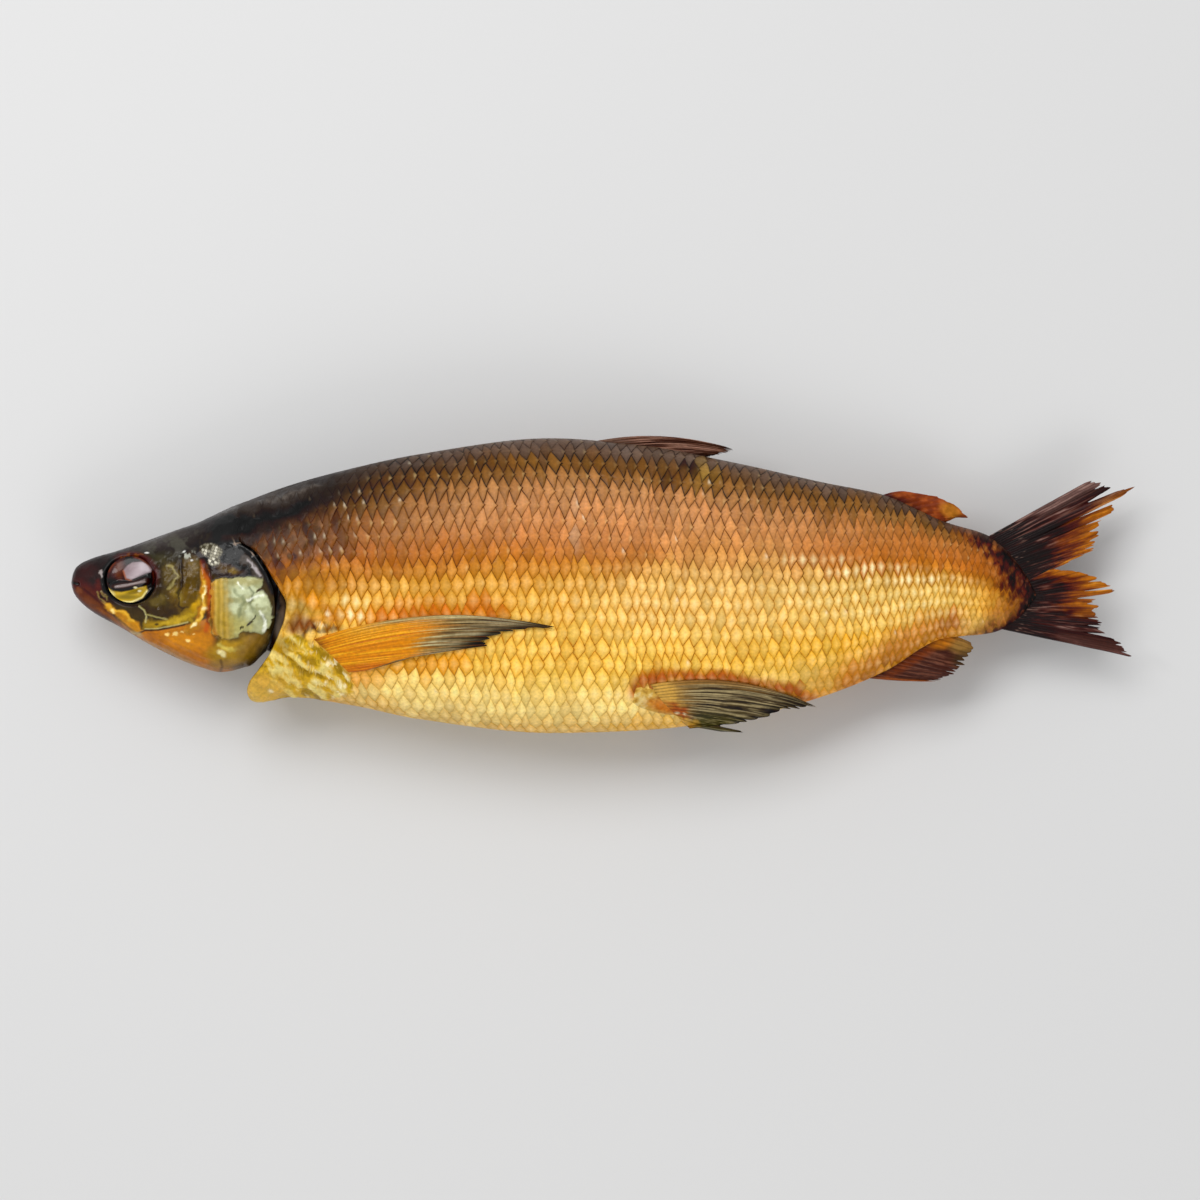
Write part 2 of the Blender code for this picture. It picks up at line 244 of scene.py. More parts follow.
def mesh_object(name, verts, tris, colour, mat, body="root", replaces="fish", uv=None, extra=None, quads=None):
    """A mesh from arrays: verts in millimetres, triangles, a colour for each vertex."""
    verts = metres(verts)
    polys = [np.asarray(tris, np.int64).reshape(-1, 3)] if tris is not None and len(tris) else []
    mesh = bpy.data.meshes.new(name)
    tri = polys[0] if polys else np.zeros((0, 3), np.int64)
    if quads is not None and len(quads):
        q = np.asarray(quads, np.int64)
        tri = np.concatenate([tri, q[:, [0, 1, 2]], q[:, [0, 2, 3]]])
    p = verts * 1000
    a = np.linalg.norm(np.cross(p[tri[:, 1]] - p[tri[:, 0]], p[tri[:, 2]] - p[tri[:, 0]]), axis=1)
    tri = tri[a > 2e-5]
    used, index = np.unique(tri.ravel(), return_inverse=True)
    tri = index.reshape(-1, 3)
    verts, colour = verts[used], colour[used]
    n = len(tri)
    mesh.vertices.add(len(verts))
    mesh.vertices.foreach_set("co", verts.astype(np.float32).ravel())
    mesh.loops.add(3 * n)
    mesh.loops.foreach_set("vertex_index", tri.astype(np.int32).ravel())
    mesh.polygons.add(n)
    mesh.polygons.foreach_set("loop_start", np.arange(0, 3 * n, 3, dtype=np.int32))
    mesh.update(calc_edges=True)
    mesh.validate()
    mesh.shade_smooth()
    layer = mesh.color_attributes.new("paint", "FLOAT_COLOR", "POINT")
    colour = np.clip(colour - SHEEN[mat.name], 0.0012, 1)
    full = np.concatenate([colour, np.ones((len(colour), 1))], 1)
    layer.data.foreach_set("color", full.astype(np.float32).ravel())
    for key, values in (extra or {}).items():
        at = mesh.attributes.new(key, "FLOAT", "POINT")
        at.data.foreach_set("value", np.asarray(values)[used].astype(np.float32))
    if uv is not None:
        layer = mesh.uv_layers.new(name="OFBake")
        per = uv[used][tri.ravel()]
        layer.data.foreach_set("uv", per.astype(np.float32).ravel())
    obj = bpy.data.objects.new(name, mesh)
    bpy.context.scene.collection.objects.link(obj)
    mesh.materials.append(mat)
    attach(obj, body)
    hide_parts(replaces)
    return obj


def grid_quads(n, m, flip=False, wrap=False):
    """Quads of an n by m grid of vertices."""
    i, j = np.meshgrid(np.arange(n - 1), np.arange(m if wrap else m - 1), indexing="ij")
    i, j = i.ravel(), j.ravel()
    k = (j + 1) % m
    q = np.stack([i * m + j, (i + 1) * m + j, (i + 1) * m + k, i * m + k], 1)
    return q[:, ::-1] if flip else q


# ------------------------------------------------------------------ the body's surface
class Side:
    """One flank as a table over x and the share of the way round from belly to back."""

    NX, NT = 694, 181

    def __init__(self, side, belly, x_to=346.0, back=BACK, half=HALF):
        self.side, self.x_to = side, x_to
        xs = np.linspace(0, x_to, self.NX)
        ang = np.linspace(-math.pi / 2, math.pi / 2, 361)
        s, c = np.sin(ang), np.abs(np.cos(ang))
        self.table = np.zeros((self.NX, self.NT, 3))
        self.length, self.zero = np.zeros(self.NX), np.zeros(self.NX)
        for i, x in enumerate(xs):
            ax = AX(x)
            nu, nl = FULL_UP(x), FULL_LOW(x)
            n = np.where(s > 0, nu, nl)
            reach = np.where(s > 0, back(x) - ax, ax - belly(x))
            y = ax + reach * np.sign(s) * np.abs(s) ** (2 / n)
            z = half(x) * c ** (2 / n)
            arc = np.concatenate([[0], np.cumsum(np.hypot(np.diff(y), np.diff(z)))])
            self.length[i] = arc[-1]
            self.zero[i] = np.interp(ax + 0.5, y, arc)
            at = np.linspace(0, arc[-1], self.NT)
            self.table[i, :, 0] = x
            self.table[i, :, 1] = np.interp(at, arc, y)
            self.table[i, :, 2] = mid(x) + side * np.interp(at, arc, z)
        dx, dt = np.gradient(self.table, axis=0), np.gradient(self.table, axis=1)
        nor = np.cross(dx, dt) * side
        nor /= np.maximum(np.linalg.norm(nor, axis=2, keepdims=True), 1e-9)
        # at the two midlines the flanks meet, so the normal stays in the mid-plane
        for t in (0, -1):
            nor[:, t, 2] = 0
            nor[:, t] /= np.maximum(np.linalg.norm(nor[:, t], axis=1, keepdims=True), 1e-9)
        self.normal = nor

    def _mix(self, tab, x, t):
        fx = np.clip(x / self.x_to, 0, 1) * (self.NX - 1)
        ft = np.clip(t, 0, 1) * (self.NT - 1)
        i, j = np.minimum(fx.astype(int), self.NX - 2), np.minimum(ft.astype(int), self.NT - 2)
        a, b = (fx - i)[:, None], (ft - j)[:, None]
        return (tab[i, j] * (1 - a) + tab[i + 1, j] * a) * (1 - b) + (tab[i, j + 1] * (1 - a) + tab[i + 1, j + 1] * a) * b

    def at(self, x, t):
        p = self._mix(self.table, x, t)
        n = self._mix(self.normal, x, t)
        return p, n / np.maximum(np.linalg.norm(n, axis=1, keepdims=True), 1e-9)

    def arc(self, x):
        f = np.clip(x / self.x_to, 0, 1) * (self.NX - 1)
        i = np.arange(self.NX)
        return np.interp(f, i, self.length), np.interp(f, i, self.zero)


BODY = {s: Side(s, BELLY) for s in (1, -1)}
HEAD = {s: Side(s, HBELLY, 78.0) for s in (1, -1)}


def layout(p):
    """Where a point is in the 1200-unit layout."""
    return p[:, 0] / K + 71.0, 590.0 - p[:, 1] / K


# edges of the gill opening, as x over y, in millimetres
COVER_EDGE = Curve([(-30, 60.0), (-27.4, 64.6), (-25.4, 68.2), (-23.3, 70.2), (-18, 72.3), (-12.5, 73.2), (-6, 73.6),
                    (-0.6, 73.2), (4, 71.6), (9.4, 68.6), (14, 64.8), (16.8, 60.6), (17.5, 60.0), (40, 60.0)])
SHOULDER_EDGE = Curve([(-42, 67.2), (-40.6, 66.0), (-39.3, 64.4), (-36.6, 63.5), (-33, 64.6), (-29.6, 67.4), (-22.5, 72.4),
                       (-16, 75.4), (-10, 77.6), (-5, 78.2), (0.2, 75.8), (4.6, 73.2), (10.2, 69.8), (14.8, 65.8),
                       (17.0, 61.2), (17.6, 60.0), (18.6, 56.0), (40, 56.0)])


# ------------------------------------------------------------------ what the smoke did: colours of the skin
RAMP = [(0.00, "#5f4c41"), (0.05, "#664526"), (0.11, "#7c5428"), (0.17, "#9f6d3c"), (0.24, "#b67c48"),
        (0.32, "#b57038"), (0.40, "#bb7029"), (0.46, "#cd8930"), (0.53, "#dea543"), (0.66, "#ecba50"),
        (0.80, "#f0be4a"), (0.88, "#f6d277"), (0.94, "#efcf7e"), (1.00, "#d9ac58")]
RAMP_T = np.array([r[0] for r in RAMP])
RAMP_C = np.array([rgb(r[1]) for r in RAMP])


def ramp(t):
    return np.stack([np.interp(t, RAMP_T, RAMP_C[:, k]) for k in range(3)], 1)


def body_paint(px, py, seed=0):
    """Colour of the scaly skin, and how dark, how strong and of what colour the scales' edges are; the edges' darkening
    is partly pigment and partly painted shade of the crevices between scales.
    """
    here = 1.0 if seed < 100 else 0.0  # marks of the upper flank alone
    x = (px - 71) * K
    y = (590 - py) * K
    top, low = BACK(x), BELLY(x)
    t = (top - y) / np.maximum(top - low, 1e-3)
    fore, rear = 1 - sstep(px, 330, 560), sstep(px, 760, 930)
    n1 = fbm(px / 60, py / 26, seed + 1) - 0.5
    n2 = fbm(px / 18, py / 12, seed + 5) - 0.5
    tt = t + 0.05 * n1 + 0.025 * n2
    tt = tt - 0.055 * fore * (1 - sstep(t, 0.30, 0.48)) + 0.02 * rear * (1 - sstep(t, 0.2, 0.5))
    col = ramp(np.clip(tt, 0, 1))
    # the back of the fore body is darker and browner
    col *= (1 - 0.38 * fore * (1 - sstep(t, 0.22, 0.45)))[:, None]
    col = lay(col, "#a8602a", 0.55 * fore * ell(px, py, 330, 552, 95, 34, 0, 0.5))
    # copper-pink band of the middle
    col = lay(col, "#cf8f5c", 0.5 * ell(px, py, 640, 520, 190, 34, 4, 0.6))
    col = lay(col, "#d89a55", 0.5 * ell(px, py, 740, 560, 70, 26, 8, 0.7))
    col = lay(col, "#f4c670", 0.55 * ell(px, py, 720, 600, 120, 34, 0, 0.6))
    # warm, saturated yellow towards the tail, brown and burgundy on the tail root
    col = lay(col, "#ecae28", 0.75 * sstep(px, 700, 860) * sstep(t, 0.62, 0.80) * (1 - sstep(px, 900, 1000)))
    col = lay(col, "#b86a28", 0.6 * rear * sstep(t, 0.10, 0.2) * (1 - sstep(t, 0.36, 0.47)))
    col = lay(col, "#e6c065", 0.65 * ell(px, py, 890, 606, 90, 26, 4, 0.6))
    col = lay(col, "#a3591f", 0.75 * sstep(px, 930, 1010) * (1 - sstep(t, 0.45, 0.75)))
    col = lay(col, "#cf8b28", 0.6 * sstep(px, 930, 1000) * sstep(t, 0.5, 0.75))
    past = px - np.interp(py, [532, 545, 556, 577, 600, 618, 634], [985, 1000, 1010, 1020, 1027, 1019, 1002])
    grain = fbm(px / 2.6, py / 3.4, seed + 31, 2) - 0.5
    crumb = fbm(px / 5.5, py / 7.5, seed + 33, 2) - 0.5
    col = lay(col, "#95521f", sstep(past + 16 * n2 + 10 * crumb, -44, -18) * 0.75)
    col = lay(col, "#5e2817", sstep(past + 20 * n2 + 24 * crumb + 12 * grain, -27, -9) * 0.85)
    col = lay(col, "#34130e", sstep(crumb + 0.6 * grain, 0.03, 0.14) * sstep(past, -34, -17) * 0.8)
    col = lay(col, "#c07d46", sstep(-crumb + 0.6 * grain, 0.08, 0.2) * sstep(past, -36, -22) * (1 - sstep(past, -10, 0)) * 0.6)
    col = lay(col, "#220d0b", sstep(past + 20 * n2 + 28 * crumb + 14 * grain, -13, 1) * 0.97)
    col = lay(col, "#8a5544", sstep(past, -8, 0) * sstep(grain, 0.14, 0.24) * 0.6)
    # orange stains: above the breast fin, at the belly fin's root, above the anal fin
    col = lay(col, "#c2600a", 0.95 * stroke(px, py + 10 * n2, [(376, 616), (420, 612), (500, 610)], 10, 0.8))
    col = lay(col, "#cf7d1c", 0.6 * stroke(px, py + 10 * n2, [(306, 622), (350, 617), (376, 616)], 7, 0.8))
    col = lay(col, "#de8a12", 0.75 * stroke(px, py + 8 * n2, [(330, 690), (380, 668), (430, 662), (462, 660)], 11, 0.8))
    col = lay(col, "#a84400", 1.0 * stroke(px, py + 10 * n2, [(634, 690), (642, 679), (664, 674), (720, 676), (790, 689), (812, 699)], 6.5, 0.8))
    col = lay(col, "#a6490a", 0.9 * stroke(px, py + 10 * n2, [(846, 684), (880, 661), (915, 639), (952, 624)], 13, 0.8))
    col = lay(col, "#7c3416", 0.8 * stroke(px, py + 8 * n2, [(852, 684), (884, 663), (918, 642), (948, 625)], 5.5, 0.9))
    col = lay(col, "#d98a2a", 0.5 * stroke(px, py, [(830, 690), (880, 660), (930, 636)], 20, 0.8))
    col = lay(col, "#e3a93a", 0.6 * ell(px, py, 655, 728, 48, 9, 0, 0.6))
    # shoulder: orange-brown behind the gill slit, dark spot over the breast fin's root
    n3 = fbm(px / 5, py / 5, seed + 24, 3) - 0.5
    wx, wy = px + 14 * n2, py + 14 * (fbm(px / 12 + 30, py / 10, seed + 25) - 0.5)
    col = lay(col, "#4a2f22", 0.8 * ell(wx, wy, 292, 530, 44, 28, -8, 0.5))
    col = lay(col, "#74431e", 0.7 * ell(wx, wy, 300, 552, 30, 12, 0, 0.6))
    col = lay(col, "#8a4f1e", 0.85 * ell(wx, wy, 276, 566, 10, 26, -24, 0.6))
    col = lay(col, "#a66a18", 0.9 * ell(wx, wy, 304, 590, 26, 22, 0, 0.5))
    col = lay(col, "#aa6c1a", 0.75 * ell(wx, wy, 330, 578, 26, 14, 0, 0.6))
    col = lay(col, "#94793a", 0.75 * ell(wx, wy, 299, 606, 14, 9, 0, 0.6))
    col = lay(col, "#cf8320", 0.8 * ell(wx, wy, 322, 602, 13, 9, 20, 0.6))
    col = lay(col, "#b5641a", 0.6 * ell(wx, wy, 334, 613, 12, 7, 20, 0.6))
    col = lay(col, "#6f3a26", 0.92 * ell(wx, wy, 303, 625, 16, 9, 10, 0.5))
    col = lay(col, "#2f1413", 0.95 * stroke(wx, wy, [(306, 636), (318, 630), (330, 627), (344, 627)], 2.6, 0.7))
    # pale streak and near-white spots on the shoulder: painted highlights
    col = lay(col, "#ead6a4", 0.8 * ell(px + 5 * n3, py, 323, 624.5, 7, 1.6, 12, 0.5))
    col = lay(col, "#fbeec6", 0.85 * (ell(px + 5 * n3, py, 329, 614, 1.8, 2.2, 0, 0.5) + ell(px + 5 * n3, py, 279, 591, 2.2, 3.0, 0, 0.5) + ell(px + 5 * n3, py, 291, 546, 1.5, 2.0, 0, 0.5)))
    spots = ell(px, py, 296, 532, 46, 36, -6, 0.4)
    gobs = fbm(px / 8, py / 10, seed + 95, 3)
    col = lay(col, "#25150e", 0.85 * spots * sstep(gobs, 0.46, 0.56))
    col = lay(col, "#8d5a3a", 0.5 * spots * (1 - sstep(gobs, 0.34, 0.44)))
    # yellow, wrinkled breast
    breast = area(px + 9 * n3, py + 6 * n2, [(236, 640), (300, 636), (322, 646), (342, 662), (353, 678), (355, 694), (300, 706), (236, 712)], 2.2)
    du, dv = (px - 300) * 0.78 + (py - 660) * 0.62, -(px - 300) * 0.62 + (py - 660) * 0.78
    wr = fbm(du / 13, dv / 4.5, seed + 20, 3)
    wr2 = fbm(du / 5, dv / 3, seed + 22, 2)
    lobe = ell(px, py, 262, 690, 24, 16, 0, 0.5)
    col = lay(col, "#d0a42a", breast * 0.96)
    # lighter on the wrinkles' crests and darker in their troughs, where the same pattern raises and lowers the skin:
    # painted highlight and painted shade
    col = lay(col, "#ecd682", breast * sstep(wr, 0.54, 0.66) * (1 - 0.7 * lobe) * 0.85)
    col = lay(col, "#8f7114", breast * (1 - sstep(wr, 0.34, 0.46)) * (1 - 0.7 * lobe) * 0.75)
    # near-white flecks and the small pale spot: painted highlights
    col = lay(col, "#fff2c0", breast * sstep(wr2, 0.62, 0.74) * sstep(px, 290, 340) * 0.85)
    col = lay(col, "#d9ad52", breast * lobe * 0.75)
    col = lay(col, "#f6e3b4", 0.85 * ell(px + 4 * n3, py, 272, 691, 2.6, 2.0, 0, 0.5))
    col = lay(col, "#8a6418", 0.6 * ell(wx, wy, 286, 642, 12, 8, 0, 0.6))
    # smooth dark nape, with a painted grey sheen, painted highlights along its folds and painted shade in the crease
    # below them
    nape = sstep(0.30 - t - 0.0011 * (px - 200) + 0.12 * (1 - sstep(px, 236, 262)), -0.03, 0.05) * (1 - sstep(px + 40 * n1, 330, 420))
    col = lay(col, "#2c2623", nape * 0.96)
    col = lay(col, "#17110c", nape * 0.8 * ell(wx, wy, 230, 526, 24, 10, -20, 0.5))
    col = lay(col, "#4b4542", nape * 0.55 * ell(wx, wy, 275, 497, 45, 8, -14, 0.6))
    col = lay(col, "#1e1614", nape * 0.8 * stroke(wx, wy, [(246, 528), (262, 520), (286, 514), (310, 500)], 4.0, 0.8))
    col = lay(col, "#645e59", nape * 0.6 * (stroke(wx, wy, [(262, 503), (275, 499), (286, 494)], 1.6, 0.8) + stroke(wx, wy, [(286, 496), (300, 490), (318, 486)], 1.3, 0.8)))
    col = lay(col, "#2b1a14", (1 - nape) * 0.7 * ell(wx, wy, 262, 545, 12, 14, -30, 0.5))
    col = lay(col, "#4d3826", 0.6 * (1 - sstep(px, 300, 420)) * (1 - sstep(t, 0.26, 0.42)) * (1 - nape))
    # ridge of the back, dull grey-brown
    ridge = 1 - sstep(t + 0.02 * n2, 0.025, 0.085)
    col = lay(col, "#66564d", 0.55 * ridge * sstep(px, 420, 560) * (1 - sstep(px, 820, 900)))
    col = lay(col, "#52443e", 0.6 * ridge * sstep(px, 800, 900))
    # olive patches with torn scales behind the back fin
    col = lay(col, "#b78f3c", here * 0.5 * ell(px, py, 706, 480, 13, 15, 0, 0.5) * (0.4 + 0.6 * (n2 > 0)))
    col = lay(col, "#2a1a10", here * 0.85 * ell(px, py, 687, 464, 9, 4, 14, 0.5))
    col = lay(col, "#2a1a10", here * 0.5 * ell(px, py, 672, 478, 9, 8, 0, 0.5))
    # pale scar down the middle of the back half
    col = lay(col, "#d9a377", here * 0.6 * stroke(px, py, [(581, 505), (577, 525), (576, 545)], 3.0, 0.6))
    col = lay(col, "#5d3a1a", here * 0.9 * ell(px, py, 468, 700, 2.6, 2.0, 0, 0.4))
    col = lay(col, "#b0802a", 0.6 * ell(px, py, 476, 696, 6, 2.4, -25, 0.5))
    # colour varies softly everywhere
    v = 1 + 0.16 * n1 + 0.20 * n2
    col = col * v[:, None]

    # the net of scale edges: partly pigment, partly painted shade in the crevices between scales
    dusk = sstep(past + 10 * n2, -16, 0)[:, None]
    line = ramp(np.clip(tt, 0, 1)) * 0.40
    line = lay(line, "#22140c", (1 - sstep(t, 0.11, 0.27)) * 0.95)
    line = lay(line, "#74401c", sstep(t, 0.13, 0.27) * (1 - sstep(t, 0.36, 0.5)) * 0.75)
    line = lay(line, "#c4761a", sstep(t, 0.44, 0.56) * (1 - sstep(t, 0.78, 0.86)) * 0.95)
    line = lay(line, "#cf9a34", sstep(t, 0.80, 0.9) * 0.95)
    line = line * (1 - dusk) + rgb("#1a0c09") * dusk
    strength = 1.05 * (1 - sstep(t, 0.10, 0.32)) + 0.46 * sstep(t, 0.10, 0.32)
    strength = strength * (1 - 0.40 * sstep(t, 0.80, 0.92)) * (1 + 1.1 * n1 + 0.8 * n2)
    strength = strength * (1 - 0.45 * rear * (1 - sstep(t, 0.3, 0.5))) * (1 + 0.35 * fore * (1 - sstep(t, 0.5, 0.7)))
    blob = np.maximum(ell(px, py, 300, 600, 34, 36, 0, 0.3), 0.1 * spots)
    strength = strength * (1 - 0.85 * nape) * (1 - breast) * (1 - 0.45 * ridge) * (1 - 0.8 * blob)
    # how much the scales stand out
    relief = 1 - 0.85 * nape - 0.92 * breast * (1 - nape)
    relief = relief * (1 - 0.40 * sstep(t, 0.76, 0.92)) * (1 - 0.55 * ridge) * (0.55 + 0.45 * sstep(px, 275, 340))
    relief = relief * (1 - 0.4 * sstep(px, 930, 1020)) * (1 - 0.75 * blob)
    return col, line, strength, np.clip(relief, 0.05, 1), breast, nape


# ------------------------------------------------------------------ scales
PITCH = Curve([(50, 3.3), (75, 3.6), (100, 3.85), (200, 3.8), (240, 3.7), (270, 3.25), (297, 2.75), (320, 2.4), (346, 2.0)])
ROW = Curve([(50, 5.3), (100, 5.75), (200, 5.7), (240, 5.55), (260, 5.2), (297, 4.7), (320, 3.9), (346, 3.4)])
_xs = np.linspace(50, 346, 2961)
_us = np.concatenate([[0], np.cumsum(np.diff(_xs) / PITCH((_xs[1:] + _xs[:-1]) / 2))])
REAR_TIP = 0.6


def scale_skin(side, rings, seed):
    """All scales of one flank, joined edge to edge: each cell's rear edge stands over the next."""
    surface = BODY[side]
    ni, nj = int(_us[-1]) + 6, 33
    j0 = -16
    I, J = np.meshgrid(np.arange(ni), np.arange(nj), indexing="ij")
    cu, cv = (I - 2) + 0.5 * (J & 1), (J + j0).astype(float)

    # how pointed the rear edges are: nearly straight-sided on the back, rounder below
    w1 = (0.19 - 0.08 * sstep(cv, 0.5, 4.0))[..., None]  # half-height of the blunt rear tip
    w2 = 1 - w1
    b = (0.10 + 0.04 * sstep(cv, 0.5, 4.0))[..., None]
    share = np.array([1 / 3, 2 / 3])
    rise = w1 + (w2 - w1) * (1 - share)
    ks = np.concatenate([-rise, -w1, -w1 / 2, 0 * w1, w1 / 2, w1, rise[..., ::-1]], -1)
    aw = np.abs(ks)
    g = np.where(aw <= w1 + 1e-9, b * (aw / w1) ** 1.7, b + 0.5 * np.clip((aw - w1) / (w2 - w1), 0, 1) ** 1.12)
    eu = cu[..., None] + REAR_TIP - g
    ev = cv[..., None] + ks
    # unevenness: the lattice is pushed about from scale to scale
    wu = (vnoise(eu * 0.8, ev * 0.8, seed + 31) - 0.5) * 0.46 + (vnoise(eu * 0.13, ev * 0.2, seed + 33) - 0.5) * 1.1
    wv = (vnoise(eu * 0.8 + 50, ev * 0.8, seed + 32) - 0.5) * 0.34 + (vnoise(eu * 0.1, ev * 0.15, seed + 34) - 0.5) * 0.35
    eu, ev = eu + wu, ev + wv
    cwu = (vnoise(cu * 0.8, cv * 0.8, seed + 31) - 0.5) * 0.46 + (vnoise(cu * 0.13, cv * 0.2, seed + 33) - 0.5) * 1.1
    cwv = (vnoise(cu * 0.8 + 50, cv * 0.8, seed + 32) - 0.5) * 0.34 + (vnoise(cu * 0.1, cv * 0.15, seed + 34) - 0.5) * 0.35

    i, j = np.meshgrid(np.arange(1, ni - 1), np.arange(1, nj - 1), indexing="ij")
    i, j = i.ravel(), j.ravel()
    odd = j & 1
    up, back = i + odd, i - 1 + odd  # index of the half-step neighbours behind and ahead
    K_ = {1: 0, 2: 1, 3: 2, 4: 3, 5: 4, 6: 5, 7: 6, 8: 7, 9: 8}

    def e(ii, jj, k):
        return np.stack([eu[ii, jj, K_[k]], ev[ii, jj, K_[k]]], -1)

    loop = [e(back, j - 1, 7)] + [e(i, j, k) for k in range(1, 10)] + [e(back, j + 1, 3), e(back, j + 1, 2), e(back, j + 1, 1)]
    loop += [e(i - 1, j, k) for k in (7, 6, 5, 4, 3)] + [e(back, j - 1, 9), e(back, j - 1, 8)]
    loop = np.stack(loop, 1)  # cells, 20, 2
    centre = np.stack([cu[i, j] + cwu[i, j] + REAR_TIP - 0.5, cv[i, j] + cwv[i, j]], -1)
    # which cells lie on this flank
    cx = np.interp(np.clip(centre[:, 0], 0, _us[-1]), _us, _xs)
    length, zero = surface.arc(cx)
    tpos = (zero + centre[:, 1] * ROW(cx)) / length
    margin = 1.6 * ROW(cx) / length
    cy = surface.at(cx, tpos)[0][:, 1]
    keep = (tpos > -margin) & (tpos < 1 + margin) & (cx > SHOULDER_EDGE(cy) - 6) & (centre[:, 0] < _us[-1] + 0.6) & (centre[:, 0] > -0.5)
    number = np.full((ni, nj), -1)
    number[i[keep], j[keep]] = np.arange(keep.sum())
    i, j, loop, centre = i[keep], j[keep], loop[keep], centre[keep]
    odd, up, back = odd[keep], up[keep], back[keep]
    n = len(i)
    r1, r2, r3, r4 = (hash01(i * 7 + k, j * 13 + k, seed + k) for k in range(4))

    # rings of points from the edge to the middle
    pts, frac = [], []
    own = np.zeros(20)
    own[0:11] = 1.0
    for f in rings:
        shrink = f * (1 - 0.03 * own[None, :, None]) if f == 1 else f
        pts.append(centre[:, None] + (loop - centre[:, None]) * shrink)
        frac.append(np.full((n, 20), f))
    pts.append(centre[:, None])
    frac.append(np.zeros((n, 1)))
    uv = np.concatenate(pts, 1)
    fr = np.concatenate(frac, 1)
    m = uv.shape[1]
    s = np.clip(uv[..., 0] - (centre[:, None, 0] - 0.5), -0.1, 1.1)
    w = uv[..., 1] - centre[:, None, 1]
    A, D = 0.28 - 0.09 * sstep(centre[:, None, 1], -1.0, 3.0), 0.27
    D = D - 0.15 * sstep(-centre[:, None, 1], -1.5, 1.5)
    h = A * s + D * (1 - fr**2)
    h += (r1[:, None] - 0.5) * 0.20 * (s - 0.5) + (r2[:, None] - 0.5) * 0.22 * w + (r3[:, None] - 0.5) * 0.07
    lip = np.where(fr > 0.995, 1.0, 0.0)
    ownmask = np.zeros((n, m))
    ownmask[:, 0:11] = 1
    h -= lip * ownmask * 0.05
    # a few scales are lifted or slipped
    h += ((r4 > 0.985) * 0.25)[:, None] * s

    u = np.clip(uv[..., 0].ravel(), 0, _us[-1])
    x = np.interp(u, _us, _xs)
    L, Z = surface.arc(x)
    t = (Z + uv[..., 1].ravel() * ROW(x)) / L
    t = np.clip(t, 0, 1)
    for _ in range(4):
        y = surface.at(x, t)[0][:, 1]
        x = np.maximum(x, SHOULDER_EDGE(y))
    p, nor = surface.at(x, t)
    px, py = layout(p)
    col, line, strength, relief, breast, nape = body_paint(px, py, seed)
    # over the scaly part each scale is mostly of one colour, a little off its neighbours'
    kx = np.interp(np.clip(centre[:, 0], 0, _us[-1]), _us, _xs)
    kl, kz = surface.arc(kx)
    kpx, kpy = layout(surface.at(kx, np.clip((kz + centre[:, 1] * ROW(kx)) / kl, 0, 1))[0])
    kpx, kpy = np.repeat(kpx + (r3 - 0.5) * 14, m), np.repeat(kpy + (r4 - 0.5) * 13, m)
    whole = body_paint(0.3 * px + 0.7 * kpx, 0.3 * py + 0.7 * kpy, seed)
    part = np.clip((1 - breast) * (1 - nape) * (1 - whole[4]) * (1 - whole[5]), 0, 1) * sstep(px, 320, 370) * (1 - 0.7 * sstep(px, 930, 985))
    part = (part * (1 - 0.8 * stroke(px, py, [(634, 690), (642, 678), (664, 673), (720, 675), (790, 688), (812, 698)], 9, 0.5)))[:, None]
    col, line = col * (1 - part) + whole[0] * part, line * (1 - part) + whole[1] * part
    # scales sink into the skin at the edges of the flank
    edge = sstep(np.minimum(t, 1 - t) * L, 0.0, 3.0)
    free = 1 - sstep(p[:, 1], 15.5, 17.6)
    rim_fade = 1 - free * (1 - sstep(x - SHOULDER_EDGE(p[:, 1]), 0.0, 2.5))
    # on the shoulder the scales are broken up: tilted this way and that
    broken = ell(kpx, kpy, 300, 537, 56, 44, -12, 0.5) * (1 - nape)
    tilted = (np.repeat(r2, m) - 0.5) * 0.75 * (s.ravel() - 0.5) + (np.repeat(r1, m) - 0.5) * 0.85 * w.ravel()
    hh = (h.ravel() + broken * tilted) * relief * edge * (0.25 + 0.75 * rim_fade) * (ROW(x) / 5.5)
    du, dv = (px - 300) * 0.78 + (py - 660) * 0.62, -(px - 300) * 0.62 + (py - 660) * 0.78
    rough = (fbm(px / 5, py / 5, seed + 40, 3) - 0.5) * 0.4 * breast + (fbm(du / 13, dv / 4.5, seed + 20, 3) - 0.5) * 2.2 * breast * edge + nape_relief(px, py, seed) * nape * edge
    dents = (fbm(px / 75, py / 45, seed + 50, 2) - 0.5) * 1.1 * edge
    hh = hh + rough * rim_fade + dents * (1 - free * (1 - sstep(x - SHOULDER_EDGE(p[:, 1]), 0.0, 12)))
    hh = hh - 0.6 * (1 - free) * (1 - sstep(x, 56.0, 60.2))
    p = p + nor * hh[:, None]

